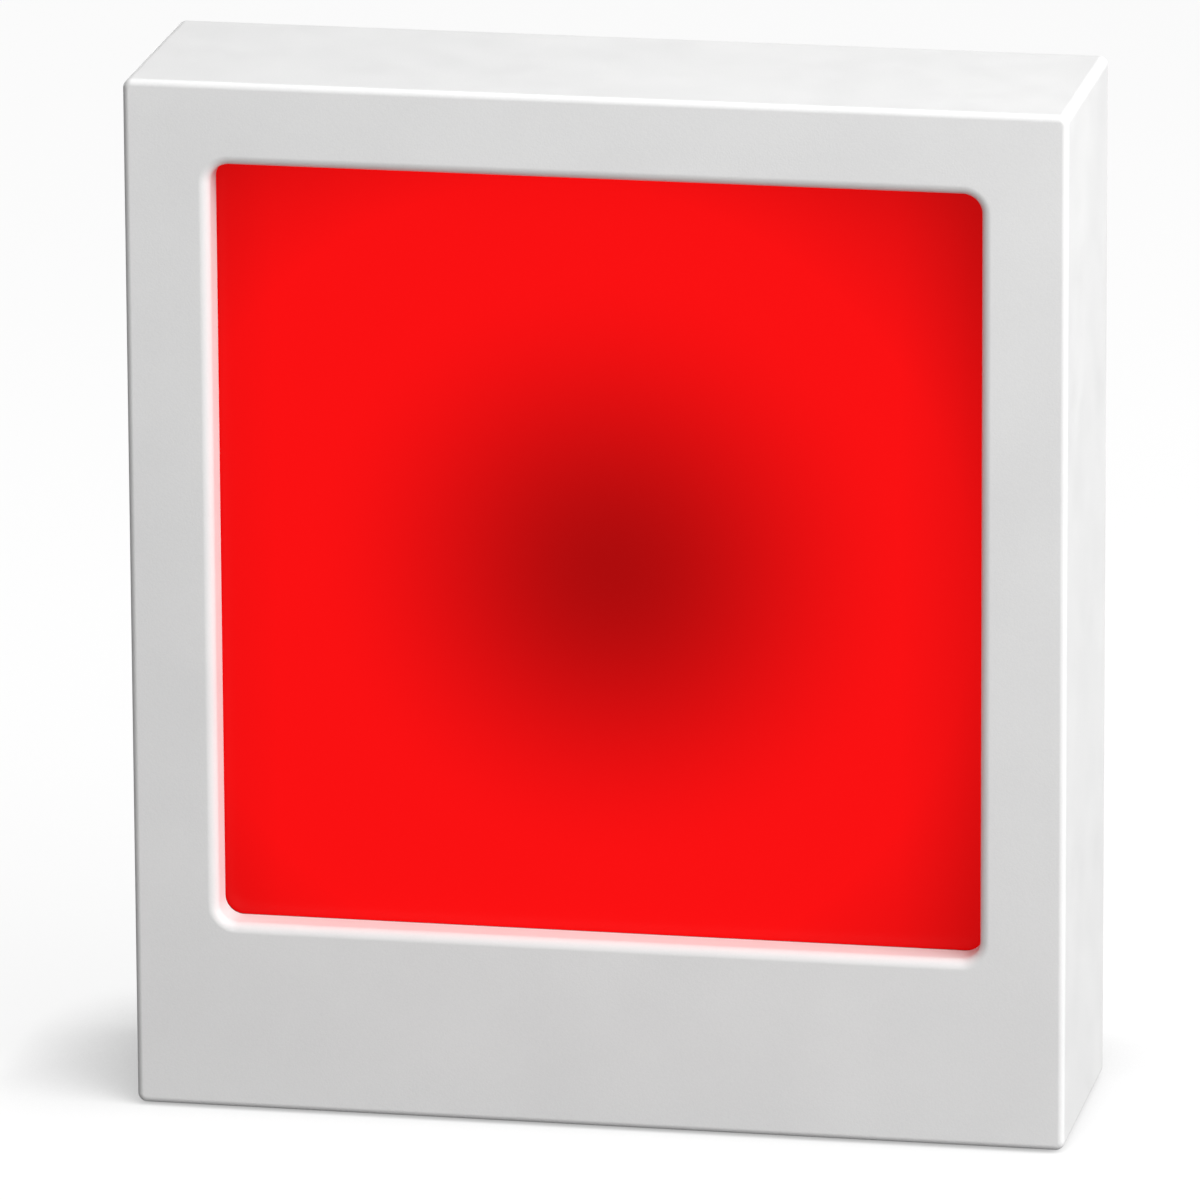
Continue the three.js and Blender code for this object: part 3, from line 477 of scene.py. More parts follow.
FIT = 0.2  # the gap that the CAD leaves on each side of a seal or gasket
case_low, case_high = box_mm("front_shell")
FRONT = case_low.y
BACK = case_high.y
outer_case = outline_of("front_shell", CASE_CORNER)
inner_case = grown(outer_case, -WALL, 1.0)
gasket_edge = outline_of("filter_gasket", WINDOW_CORNER + GASKET_OVERLAP)
window_edge = grown(gasket_edge, -GASKET_OVERLAP)
window_centre = centre_mm("filter_gasket")
FILTER_FRONT = box_mm("red_filter")[0].y
FLANGE_END = box_mm("filter_gasket")[0].y - FIT
seal_low, seal_high = box_mm("rear_seal")
LEDGE_BACK = seal_low.y - FIT
COVER_FRONT = seal_high.y + FIT


# The pane's painted glow and painted shade. Places are (across, up) from the window's middle and distances
# are in millimetres.
PANE_COLOUR = (0.10, 0.0010, 0.0012, 1)
GLOW_COLOUR = (1.0, 0.0036, 0.0042)
GLOW_STRENGTH = 0.88
DARK_MIDDLE = (2, -3)
DARK_RADIUS = 59
DARK_LEVEL = 0.385
BRIGHT_MIDDLE = (-7, -6)
CORNER_FADE = (78, 110)
CORNER_LEVEL = 0.65
SIDE_MIDDLE = -3
SIDE_FADE = (60, 76)
SIDE_LEVEL = 0.85


def lit_acrylic():
    """The lit pane: a glow painted on it as from a ring of light behind it, with painted shade darkest at
    its middle and weaker in its corners.
    """
    finish = Finish("lit_acrylic", roughness=0.22)
    shader = finish.shader
    shader.inputs["Specular IOR Level"].default_value = 0.08
    shader.inputs["Base Color"].default_value = PANE_COLOUR
    flat = finish.add("VectorMath", operation="MULTIPLY")
    finish.link(finish.place, flat.inputs[0])
    flat.inputs[1].default_value = (1, 0, 1)

    def distance_from(across, up):
        away = finish.add("VectorMath", operation="DISTANCE")
        finish.link(flat.outputs["Vector"], away.inputs[0])
        away.inputs[1].default_value = (across * MM, 0, (window_centre.z + up) * MM)
        return away.outputs["Value"]

    def fading(distance, limits, level):
        return finish.between(distance, 1.0, level, limits[0] * MM, limits[1] * MM)

    # painted shade: the glow dims towards the middle, the corners and the sides
    middle = finish.between(distance_from(*DARK_MIDDLE), DARK_LEVEL, 1.0, 0.0, DARK_RADIUS * MM)
    middle.node.interpolation_type = "SMOOTHSTEP"
    corners = fading(distance_from(*BRIGHT_MIDDLE), CORNER_FADE, CORNER_LEVEL)
    across = finish.add("SeparateXYZ")
    finish.link(finish.place, across.inputs["Vector"])
    from_middle = finish.maths("ABSOLUTE", finish.maths("ADD", across.outputs["X"], -SIDE_MIDDLE * MM))
    sides = fading(from_middle, SIDE_FADE, SIDE_LEVEL)
    level = finish.maths("MULTIPLY", middle, finish.maths("MULTIPLY", corners, sides))
    mottled = finish.maths("MULTIPLY", level, finish.between(finish.noise(0.5, 2.0), 0.985, 1.015))
    glow = finish.mixed(1.0, GLOW_COLOUR, mottled, "MULTIPLY")
    finish.link(glow, shader.inputs["Emission Color"])
    shader.inputs["Emission Strength"].default_value = GLOW_STRENGTH
    finish.bump(finish.noise(1.5, 3.0), 0.004)
    return finish.material


# ---- front shell


BOSS_RADIUS = 3
BOSS_WEB_HALF = 0.6
REAR_PILOT_RADIUS = 1.6
REAR_PILOT_DEPTH = 14
FRAME_PILOT_RADIUS = 1.5
PILOT_FLOOR = 2  # of plastic left under a frame screw's pilot hole
SEAT_GAP = 0.25  # between a boss and the frame that sits on it
LEDGE_THICKNESS = 1.5
LEDGE_REACH = 1.8
FOOT_POCKET_RADIUS = 6.3
FOOT_POCKET_DEPTH = 1
OVERLAP = 0.5  # how far a joined part reaches into its neighbour


def front_shell():
    """The white moulding: a closed section swept round the case, with its bosses and foot pockets."""
    ledge_edge = grown(inner_case, -LEDGE_REACH)
    ledge_front = LEDGE_BACK - LEDGE_THICKNESS
    inside_front = FRONT + WALL
    boss_front = inside_front - OVERLAP
    frame_front = box_mm("retaining_frame")[0].y
    sections = []
    for sine, cosine in quarter_round():
        inset = REAR_EDGE_RADIUS * (1 - sine)
        sections.append((BACK - REAR_EDGE_RADIUS * (1 - cosine), grown(outer_case, -inset)))
    for sine, cosine in quarter_round():
        inset = FRONT_EDGE_RADIUS * (1 - cosine)
        sections.append((FRONT + FRONT_EDGE_RADIUS * (1 - sine), grown(outer_case, -inset)))
    for sine, cosine in quarter_round():
        outset = LIP_RADIUS * (1 - sine)
        sections.append((FRONT + LIP_RADIUS * (1 - cosine), grown(window_edge, outset)))
    sections += [
        (FLANGE_END, window_edge),
        (FLANGE_END, grown(window_edge, WALL)),
        (inside_front, grown(window_edge, WALL)),
        (inside_front, inner_case),
        (ledge_front, inner_case),
        (ledge_front, ledge_edge),
        (LEDGE_BACK, ledge_edge),
        (LEDGE_BACK, inner_case),
        (BACK, inner_case),
    ]
    shell = loft(sections, closed=True)
    bosses = []
    pilots = []
    pockets = []
    below_case = case_low.z - FOOT_POCKET_DEPTH
    for number in CORNERS:
        place = centre_mm(f"rear_screw_{number}")
        left, right = sorted((place.x, math.copysign(inner_case.right + 0.3, place.x)))
        web_low = (left, boss_front, place.z - BOSS_WEB_HALF)
        web_high = (right, ledge_front, place.z + BOSS_WEB_HALF)
        bosses.append(peg_y(BOSS_RADIUS, place.x, place.z, boss_front, LEDGE_BACK))
        bosses.append(block(web_low, web_high))
        pilots.append(peg_y(REAR_PILOT_RADIUS, place.x, place.z, LEDGE_BACK - REAR_PILOT_DEPTH, BACK))
        place = centre_mm(f"frame_screw_{number}")
        bosses.append(peg_y(BOSS_RADIUS, place.x, place.z, boss_front, frame_front - SEAT_GAP))
        pilots.append(peg_y(FRAME_PILOT_RADIUS, place.x, place.z, inside_front + PILOT_FLOOR, 0))
        place = centre_mm(f"rubber_foot_{number}")
        pocket = peg(FOOT_POCKET_RADIUS, 2 * FOOT_POCKET_DEPTH)
        pockets.append(moved(pocket, (place.x, place.y, below_case)))
    joined(shell, *bosses)
    cut(shell, *pilots, *pockets)
    finish_node("front_shell", shell, WHITE)


front_shell()


SHEET_CORNER = 3
GASKET_GAP = 0.02
GASKET_INSET = 0.15


def red_filter():
    """The red pane: only its front face has the painted glow."""
    low, high = box_mm("red_filter")
    pane = slab(outline_of("red_filter", SHEET_CORNER), low.y, high.y, 0.3)
    painted(pane, lambda centre: 0 if centre.y < low.y + 0.01 else 1)
    finish_node("red_filter", pane, lit_acrylic(), RED_ACRYLIC, slot="red_acrylic")


red_filter()


def filter_gasket():
    """Black foam that fills the gap between the window's flange and the pane."""
    inner = grown(window_edge, GASKET_INSET)
    ring = frame_ring(gasket_edge, inner, FLANGE_END + GASKET_GAP, FILTER_FRONT - GASKET_GAP)
    finish_node("filter_gasket", ring, FOAM)


filter_gasket()


def rubber_feet():
    """Four round feet with a softened lower edge."""
    for number in CORNERS:
        node = f"rubber_foot_{number}"
        low, high = box_mm(node)
        place = centre_mm(node)
        radius = (high.x - low.x) / 2
        height = high.z - low.z
        profile = [(0, 0), (radius - 0.4, 0), (radius - 0.12, 0.12), (radius, 0.4)]
        profile += [(radius, height), (0, height)]
        foot = moved(turned(profile), (place.x, place.y, low.z))
        finish_node(node, foot, RUBBER)


rubber_feet()

# ---- cutters with rounded mouths

SOFT_EDGE = 0.35  # the rounding of a moulded edge


def rounded_pocket(edge, floor, surface, rounding=SOFT_EDGE):
    """A cutter for a pocket whose mouth, in a face at surface that looks to +Y, is rounded."""
    sections = [(floor, edge)]
    for sine, cosine in quarter_round(SOFT_STEPS):
        sections.append((surface - rounding * (1 - sine), grown(edge, rounding * (1 - cosine))))
    sections.append((surface + 2, grown(edge, rounding)))
    return loft(sections)


def rounded_bore(radius, x, z, floor, surface, rounding=SOFT_EDGE):
    """The same for a round hole along Y."""
    profile = [(0, 0), (radius, 0)]
    depth = surface - floor
    for sine, cosine in quarter_round(SOFT_STEPS):
        profile.append((radius + rounding * (1 - cosine), depth - rounding * (1 - sine)))
    profile += [(radius + rounding, depth + 2), (0, depth + 2)]
    return moved(turned(profile), (x, floor, z), ALONG_Y)


def barrel_x(radius, y, z, left, right, rounding=0.25):
    """A round bar along X with rounded ends."""
    length = right - left
    profile = [(0, 0)]
    for sine, cosine in quarter_round(SOFT_STEPS):
        profile.append((radius - rounding * (1 - sine), rounding * (1 - cosine)))
    for sine, cosine in quarter_round(SOFT_STEPS):
        profile.append((radius - rounding * (1 - cosine), length - rounding * (1 - sine)))
    profile.append((0, length))
    return moved(turned(profile, BAR_STEPS), (left, y, z), ALONG_X)


# ---- rear cover and battery door

_, HINGE_Y, HINGE_Z = joint_place("battery_door_hinge")
HINGE_RADIUS = 1.6
PIN_HOLE_RADIUS = 0.9
PIN_HOLE_STEPS = 24
COVER_KNUCKLES = [(-58, -46), (-6, 6), (46, 58)]
DOOR_KNUCKLES = [(-45.6, -6.4), (6.4, 45.6)]
WELL_DEPTH = 6.5  # of the recessed control panel, from the cover's face
WELL_WALL = 2
WELL_SIZE = (64, 26, 2)  # width, height and corner radius
SWITCH_OPENING = (13.2, 19.2)
INLET_HOLE_RADIUS = 4.2
COVER_GAP = 0.35
DOOR_GAP = 0.4
DOOR_CORNER = 1.2
REAR_HEAD_RADIUS = 3.1  # the pocket of a rear screw's head
REAR_HEAD_DEPTH = 2.1
HOLDER_BOSS_FRONT = 17.2
HOLDER_BOSS_RADIUS = 2.8
HOLDER_PILOT_RADIUS = 1.4
KEYHOLE_XS = (-52, 52)
KEYHOLE_Z = 150
KEYHOLE_HEAD_RADIUS = 4.25
KEYHOLE_SLOT_RADIUS = 2.2
KEYHOLE_TRAVEL = 9
KEYHOLE_BOX = (14, 21, 2)  # the closed box behind each keyhole
KEYHOLE_BOX_WALL = 1.8
KEYHOLE_BOX_DEPTH = 5.5

door_low, door_high = box_mm("battery_door")
DOOR_THICKNESS = 2
COVER_BACK = HINGE_Y + 1.2
pin_low, pin_high = box_mm("door_hinge_pin")
switch_centre = centre_mm("switch_body")
inlet_centre = centre_mm("power_inlet")
control_z = inlet_centre.z


def hinge_barrels(spans, web_low, web_high):
    """Knuckles round the hinge's axis, each with a web up or down to its plate."""
    pieces = []
    for left, right in spans:
        pieces.append(barrel_x(HINGE_RADIUS, HINGE_Y, HINGE_Z, left, right))
        pieces.append(block((left + 0.25, HINGE_Y - 0.8, web_low), (right - 0.25, HINGE_Y + 0.8, web_high)))
    return pieces


def keyhole_cutter(x):
    """Cutters for the head's round hole and the slot above it."""
    head = rounded_bore(KEYHOLE_HEAD_RADIUS, x, KEYHOLE_Z, COVER_FRONT - 1, COVER_BACK)
    slot_edge = Rectangle(
        x - KEYHOLE_SLOT_RADIUS,
        x + KEYHOLE_SLOT_RADIUS,
        KEYHOLE_Z,
        KEYHOLE_Z + KEYHOLE_TRAVEL + KEYHOLE_SLOT_RADIUS,
        KEYHOLE_SLOT_RADIUS - 0.01,
    )
    return [head, rounded_pocket(slot_edge, COVER_FRONT - 1, COVER_BACK)]


def rear_cover():
    """The back: a plate with a recessed control panel, two keyholes and the battery opening."""
    well_floor = COVER_BACK - WELL_DEPTH
    well_outside = well_floor - WELL_WALL
    behind_cover = COVER_FRONT - 1
    joint_back = COVER_FRONT + OVERLAP
    well = centred(0, control_z, *WELL_SIZE)
    opening = Rectangle(
        door_low.x - DOOR_GAP,
        door_high.x + DOOR_GAP,
        HINGE_Z - 2.6,
        door_high.z + DOOR_GAP,
        DOOR_CORNER + 0.2,
    )
    panel = slab(grown(inner_case, -COVER_GAP), COVER_FRONT, COVER_BACK, SOFT_EDGE)
    added = [slab(grown(well, WELL_WALL), well_outside, joint_back)]
    removed = [
        rounded_pocket(well, well_floor, COVER_BACK, 0.6),
        rounded_pocket(opening, behind_cover, COVER_BACK),
        slab(centred(switch_centre.x, control_z, *SWITCH_OPENING), well_outside - 1, COVER_BACK),
        peg_y(INLET_HOLE_RADIUS, inlet_centre.x, control_z, well_outside - 1, COVER_BACK),
    ]
    for number in CORNERS:
        place = centre_mm(f"rear_screw_{number}")
        head_floor = COVER_BACK - REAR_HEAD_DEPTH
        added.append(peg_y(BOSS_RADIUS, place.x, place.z, COVER_FRONT - 0.9, joint_back))
        removed.append(peg_y(REAR_PILOT_RADIUS, place.x, place.z, COVER_FRONT - 2, COVER_BACK))
        removed.append(rounded_bore(REAR_HEAD_RADIUS, place.x, place.z, head_floor, COVER_BACK, 0.3))
    for x in KEYHOLE_XS:
        pocket = centred(x, KEYHOLE_Z + 3.5, *KEYHOLE_BOX)
        inside = grown(pocket, -KEYHOLE_BOX_WALL, 0.6)
        added.append(slab(pocket, COVER_FRONT - KEYHOLE_BOX_DEPTH, joint_back))
        removed.append(slab(inside, COVER_FRONT - KEYHOLE_BOX_DEPTH + 1.7, COVER_FRONT))
        removed += keyhole_cutter(x)
    for number in (1, 2):
        place = centre_mm(f"holder_screw_{number}")
        pilot_front = HOLDER_BOSS_FRONT - 1
        added.append(peg_y(HOLDER_BOSS_RADIUS, place.x, place.z, HOLDER_BOSS_FRONT, joint_back))
        removed.append(peg_y(HOLDER_PILOT_RADIUS, place.x, place.z, pilot_front, joint_back + 0.1))
    joined(panel, *added)
    cut(panel, *removed)
    joined(panel, *hinge_barrels(COVER_KNUCKLES, opening.low - OVERLAP, HINGE_Z))
    cut(panel, peg_x(PIN_HOLE_RADIUS, HINGE_Y, HINGE_Z, pin_low.x - 0.3, pin_high.x + 0.3, PIN_HOLE_STEPS))
    finish_node("rear_cover", panel, WHITE)


rear_cover()

NOTCH_RADIUS = 7
NOTCH_RISE = 3.4  # of its middle over the door's top edge
NOTCH_DEPTH = 1.2
GROOVE_SIZE = (22, 1, 0.45)
GROOVE_DEPTH = 0.6
GROOVE_PITCH = 4


def battery_door():
    """The hinged door, with a finger notch over three grip grooves."""
    edge = Rectangle(door_low.x, door_high.x, HINGE_Z + 1.9, door_high.z, DOOR_CORNER)
    panel = slab(edge, COVER_BACK - DOOR_THICKNESS, COVER_BACK, SOFT_EDGE)
    joined(panel, *hinge_barrels(DOOR_KNUCKLES, HINGE_Z, edge.low + 0.6))
    removed = [
        rounded_bore(NOTCH_RADIUS, 0, edge.high + NOTCH_RISE, COVER_BACK - NOTCH_DEPTH, COVER_BACK, 0.3),
        peg_x(PIN_HOLE_RADIUS, HINGE_Y, HINGE_Z, pin_low.x, pin_high.x, PIN_HOLE_STEPS),
    ]
    for step in (2, 3, 4):
        groove = centred(0, edge.high - GROOVE_PITCH * step, *GROOVE_SIZE)
        removed.append(rounded_pocket(groove, COVER_BACK - GROOVE_DEPTH, COVER_BACK, 0.2))
    cut(panel, *removed)
    finish_node("battery_door", panel, WHITE, body="door")


battery_door()

# ---- screws and other metal


def steel(name, colour=(0.56, 0.57, 0.58), roughness=0.28):
    """Plated steel: fine scratches, and a duller tone where it has been handled."""
    finish = Finish(name, metallic=1.0)
    stain = finish.noise(2.5, 4.0, seed=2.2)
    darker = tuple(0.72 * channel for channel in colour)
    finish.colour(finish.between(stain, darker, colour, 0.35, 0.6))
    scratches = finish.noise(0.25, 3.0)
    finish.rough(finish.between(scratches, roughness - 0.08, roughness + 0.14, 0.3, 0.7))
    finish.bump(scratches, 0.01)
    return finish.material


STEEL = steel("steel")
SPRING_STEEL = steel("spring_steel", (0.66, 0.65, 0.62), 0.22)


def threaded_rod(radius, depth, pitch, length, taper, tip_share=0.35, steps=24):
    """A thread about local Z from -length up to 0, whose far end narrows over the taper to a share."""
    rows = round(length / pitch * 8)
    rings = []
    for row in range(rows + 1):
        height = -length + length * row / rows
        tip = min(1.0, tip_share + (1 - tip_share) * (height + length) / taper)
        ring = []
        for step in range(steps):
            phase = (height / pitch - step / steps) % 1.0
            here = (radius - depth * abs(2 * phase - 1)) * tip
            angle = 2 * math.pi * step / steps
            ring.append((here * math.cos(angle), here * math.sin(angle), height))
        rings.append(ring)
    return skin(rings)


def pan_screw(shaft_radius, length, head_radius, head_height):
    """A pan-head screw about local Z with a cross recess: the origin is under its head."""
    profile = [(0, -0.2), (0.9 * shaft_radius, -0.2), (0.9 * shaft_radius, 0), (head_radius - 0.15, 0)]
    profile += [(head_radius, 0.15), (head_radius, 0.4 * head_height)]
    for sine, cosine in quarter_round(8)[1:-1]:
        profile.append((head_radius * (0.45 + 0.55 * cosine), head_height * (0.4 + 0.6 * sine)))
    profile += [(0.45 * head_radius, head_height), (0, head_height)]
    thread = threaded_rod(shaft_radius, 0.28 * shaft_radius, 0.8, length, 1.3 * shaft_radius)
    screw = joined(turned(profile, FINE_STEPS), thread)
    half = 0.13 * head_radius
    recess = []
    for turn in (0, math.pi / 2):
        rings = []
        for height, share in ((0.35 * head_height, 0.34), (head_height + 0.5, 0.58)):
            reach = share * head_radius
            ring = ((-reach, -half), (reach, -half), (reach, half), (-reach, half))
            rings.append([(x, y, height) for x, y in ring])
        recess.append(moved(skin(rings), turn=Matrix.Rotation(turn, 4, "Z")))
    return cut(screw, *recess)


def screws(group, shaft_radius, length, head_radius, head_height, count, towards=1):
    """The screws of one group: their heads look to +Y, or to -Y when towards is -1."""
    for number in range(1, count + 1):
        node = f"{group}_{number}"
        low, high = box_mm(node)
        under_head = high.y - head_height if towards > 0 else low.y + head_height
        middle = (low + high) / 2
        twist = Matrix.Rotation(0.9 * number + 0.4, 4, "Z")
        turn = (ALONG_Y if towards > 0 else ALONG_Y.inverted()) @ twist
        screw = pan_screw(shaft_radius, length, head_radius, head_height)
        moved(screw, (middle.x, under_head, middle.z), turn)
        finish_node(node, screw, STEEL)


# Each group's shaft radius, length under the head, head radius, head height and count.
screws("rear_screw", 1.3, 13, 2.7, 1.5, 4)
screws("frame_screw", 1.2, 10, 2.6, 1.5, 4)
screws("holder_screw", 1.1, 5.6, 2.2, 1.4, 2, towards=-1)
screws("board_screw", 1.0, 4.6, 2.2, 1.4, 2)


def hinge_pin():
    pin = barrel_x((pin_high.z - pin_low.z) / 2, HINGE_Y, HINGE_Z, pin_low.x, pin_high.x, 0.2)
    finish_node("door_hinge_pin", pin, STEEL)


hinge_pin()

# ---- more ways to shape a piece


def cad_copy(node):
    """A CAD node's solid in millimetres, as a piece to work on."""
    piece = bpy.data.objects.new("solid", frame["nodes"][node].data.copy())
    bpy.context.scene.collection.objects.link(piece)
    piece.data.transform(Matrix.Scale(1 / MM, 4))
    return piece


def refined(node, material, rounding):
    """The CAD node's own shape with its sharp edges rounded."""
    finish_node(node, bevelled(cad_copy(node), rounding), material)


WIRE_SIDES = 12
CURVE_STEPS = 10


def swept(points, radius):
    """A round wire through points, with flat ends."""
    rings = []
    across = None
    for number, point in enumerate(points):
        before = points[max(number - 1, 0)]
        after = points[min(number + 1, len(points) - 1)]
        along = (after - before).normalized()
        if across is None:
            across = along.orthogonal().normalized()
        across = (across - along * across.dot(along)).normalized()
        other = along.cross(across)
        ring = []
        for side in range(WIRE_SIDES):
            angle = 2 * math.pi * side / WIRE_SIDES
            offset = across * math.cos(angle) + other * math.sin(angle)
            ring.append(point + radius * offset)
        rings.append(ring)
    return skin(rings)


# ---- switch and power inlet

ROCKER_PIVOT = joint_place("rocker_tilt")
ROCKER_REST_TILT = math.radians(12)
ROCKER_WIDTH = 9.8
PIVOT_STUB_RADIUS = 1.2
PIVOT_STUB_REACH = 5.7
rocker_place = Matrix.Translation(ROCKER_PIVOT) @ Matrix.Rotation(ROCKER_REST_TILT, 4, "X")

GLOSSY_BLACK = grained_plastic("glossy_black", (0.01, 0.01, 0.011), (0.016, 0.016, 0.017), 0.24, 0.6, 0.006)
MARKS = grained_plastic("white_marks", (0.70, 0.70, 0.69), (0.78, 0.78, 0.77), 0.45, 0.3, 0.01)

refined("switch_body", BLACK, 0.3)


def curve_through(start, middle, end):
    """Points on a quadratic curve, without its start."""
    points = []
    for step in range(1, CURVE_STEPS + 1):
        t = step / CURVE_STEPS
        points.append(tuple((1 - t) ** 2 * a + 2 * t * (1 - t) * b + t * t * c
                            for a, b, c in zip(start, middle, end)))
    return points


def rocker():
    """The rocker about its pivot, from (y, z) points: two faces that meet in a shallow valley."""
    profile = [(-1.4, -6.6), (4, -7.6)]
    profile += curve_through((4, -7.6), (2.9, -3), (2.7, 0))
    profile += curve_through((2.7, 0), (2.9, 3), (4, 7.6))
    profile.append((-1.4, 6.6))
    profile += curve_through((-1.4, 6.6), (-4.4, 0), (-1.4, -6.6))[:-1]
    rings = [[(x, y, z) for y, z in profile] for x in (-ROCKER_WIDTH / 2, ROCKER_WIDTH / 2)]
    paddle = bevelled(skin(rings), 0.45, 3, 50)
    joined(paddle, peg_x(PIVOT_STUB_RADIUS, 0, 0, -PIVOT_STUB_REACH, PIVOT_STUB_REACH))
    paddle.data.transform(rocker_place)
    finish_node("rocker", paddle, GLOSSY_BLACK, slot="black_plastic", body="switch_rocker")


rocker()


def rocker_marks():
    """The usual bar for on and ring for off, inlaid in the rocker's two faces."""
    face_y = 3.28
    face_z = 4.3
    slope = math.radians(10.8)
    sunk = -0.15
    proud = 0.07
    bar = slab(centred(0, 0, 0.5, 3.0, 0.2), sunk, proud)
    ring = peg_y(1.4, 0, 0, sunk, proud)
    cut(ring, peg_y(0.95, 0, 0, -1, 1))
    moved(bar, (0, face_y, face_z), Matrix.Rotation(-slope, 4, "X"))
    moved(ring, (0, face_y, -face_z), Matrix.Rotation(slope, 4, "X"))
    joined(bar, ring)
    bar.data.transform(rocker_place)
    finish_piece("rocker_marks", bar, "switch_rocker", [], [MARKS])


rocker_marks()

INLET_BARREL_RADIUS = 3.9
INLET_BORE_RADIUS = 2.9
INLET_PIN_RADIUS = 1.0


def power_inlet():
    """A barrel socket with a threaded neck and a centre pin."""
    low, high = box_mm("power_inlet")
    shoulder = COVER_BACK - WELL_DEPTH - 2.2
    body_front = low.y + 1.6
    body_radius = (high.x - low.x) / 2
    neck = high.y - shoulder
    depth = high.y - 11
    length = shoulder - body_front
    profile = [(0, 0), (body_radius - 0.3, 0), (body_radius, 0.3), (body_radius, length - 0.2)]
    profile += [(body_radius - 0.2, length), (0, length)]
    body = moved(turned(profile), (inlet_centre.x, body_front, control_z), ALONG_Y)
    screwed = threaded_rod(INLET_BARREL_RADIUS, 0.22, 0.75, neck, 0.4, 0.9, FINE_STEPS)
    moved(screwed, (inlet_centre.x, shoulder - 0.02, control_z), ALONG_Y.inverted())
    bore = rounded_bore(INLET_BORE_RADIUS, inlet_centre.x, control_z, high.y - depth, high.y, 0.3)
    profile = [(0, -0.3), (INLET_PIN_RADIUS, -0.3), (INLET_PIN_RADIUS, depth - 1.6)]
    profile += [(0.85, depth - 1.2), (0.5, depth - 1.0), (0, depth - 1.0)]
    pin = turned(profile, BAR_STEPS)
    moved(pin, (inlet_centre.x, high.y - depth, control_z), ALONG_Y)
    terminals = []
    for x in (inlet_centre.x - 3, inlet_centre.x + 3):
        terminal_low = (x - 0.4, low.y, control_z - 1.2)
        terminals.append(block(terminal_low, (x + 0.4, body_front + 0.3, control_z + 1.2)))
    joined(body, screwed)
    cut(body, bore)
    joined(body, pin, *terminals)

    def metal(centre):
        from_axis = math.hypot(centre.x - inlet_centre.x, centre.z - control_z)
        on_pin = centre.y > high.y - depth + 0.01 and from_axis < INLET_PIN_RADIUS + 0.1
        return 1 if on_pin or centre.y < body_front - 0.01 else 0

    painted(body, metal)
    finish_node("power_inlet", body, BLACK, STEEL)


def inlet_nut():
    """A hexagon nut with both faces chamfered round."""
    low, high = box_mm("inlet_nut")
    corner = (high.z - low.z) / 2
    thick = high.y - low.y
    flat = corner * math.cos(math.pi / 6)
    blank = turned([(0, 0), (corner, 0), (corner, thick), (0, thick)], 6)
    chamfer = turned([(0, 0), (flat - 0.1, 0), (corner + 0.05, 0.45), (corner + 0.05, thick - 0.45),
                      (flat - 0.1, thick), (0, thick)], 96)
    combined(blank, [chamfer], "INTERSECT")
    moved(blank, (inlet_centre.x, low.y, control_z), ALONG_Y @ Matrix.Rotation(math.pi / 6, 4, "Z"))
    cut(blank, rounded_bore(INLET_BARREL_RADIUS + 0.3, inlet_centre.x, control_z, low.y - 1, high.y, 0.3))
    finish_node("inlet_nut", blank, STEEL)


power_inlet()
inlet_nut()

# ---- battery holder, cells and contacts

SLEEVE = grained_plastic("cell_sleeve", (0.016, 0.017, 0.020), (0.030, 0.031, 0.035), 0.28, 1.2, 0.008)
SLEEVE_BAND = grained_plastic("cell_band", (0.50, 0.27, 0.10), (0.62, 0.36, 0.15), 0.30, 1.2, 0.008)

refined("battery_holder", BLACK, 0.25)


CELL_BAND = 14  # the length of the coloured band at the button end


def battery_cell(node):
    """A round cell with a crimped sleeve: its button end is where the row's first cell points."""
    low, high = box_mm(node)
    middle = (low + high) / 2
    half = (high.x - low.x) / 2
    radius = (high.y - low.y) / 2
    towards = -1 if middle.z < centre_mm("battery_holder").z else 1
    band_start = half - CELL_BAND
    profile = [(0, -half), (4.4, -half), (4.75, -half + 0.12), (4.9, -half + 0.35), (6.2, -half + 0.35)]
    profile += [(6.7, -half + 0.42), (radius - 0.1, -half + 0.7), (radius, -half + 1.1)]
    profile += [(radius, band_start), (radius, half - 2.2), (radius - 0.08, half - 1.8)]
    profile += [(6.75, half - 1.45), (6.3, half - 1.3), (5.8, half - 1.3), (5.7, half - 1.5)]
    profile += [(3.3, half - 1.5), (3.1, half - 1.25), (2.75, half - 1.15), (2.65, half - 0.35)]
    profile += [(2.5, half - 0.08), (2.3, half), (0, half)]
    cell = turned(profile)

    def part_of(centre):
        from_axis = math.hypot(centre.x, centre.y)
        if from_axis < 3.2 or (centre.z < 0 and from_axis < 6):
            return 2
        if from_axis < 5.75:
            return 3
        return 1 if centre.z > band_start else 0

    painted(cell, part_of)
    moved(cell, middle, ALONG_X if towards > 0 else ALONG_X.inverted())
    finish_node(node, cell, SLEEVE, SLEEVE_BAND, STEEL, BLACK)


for number in range(1, 5):
    battery_cell(f"battery_cell_{number}")

low_row_z = centre_mm("battery_cell_1").z
high_row_z = centre_mm("battery_cell_3").z
cell_y = centre_mm("battery_cell_1").y
CONTACT_FACE = 53.5
CONTACT_THICKNESS = 0.5
SPRING_LENGTH = 5
SPRING_WIRE_RADIUS = 0.4
SPRING_BASE_RADIUS = 3.8
SPRING_TIP_RADIUS = 2.4
SPRING_TURNS = 4
SPRING_CLOSED_TURNS = 0.6  # wound flat at each end
SPRING_STEPS = 24
PLATE_HALF_WIDTH = 6
PLATE_HALF_HEIGHT = 5.5


def contact_plate(side, low_z, high_z):
    """A plate behind the ends of the cells between two heights, to the left (-1) or the right (1)."""
    left, right = sorted((side * CONTACT_FACE, side * (CONTACT_FACE + CONTACT_THICKNESS)))
    low = (left, cell_y - PLATE_HALF_WIDTH, low_z - PLATE_HALF_HEIGHT)
    high = (right, cell_y + PLATE_HALF_WIDTH, high_z + PLATE_HALF_HEIGHT)
    return bevelled(block(low, high), 0.12)


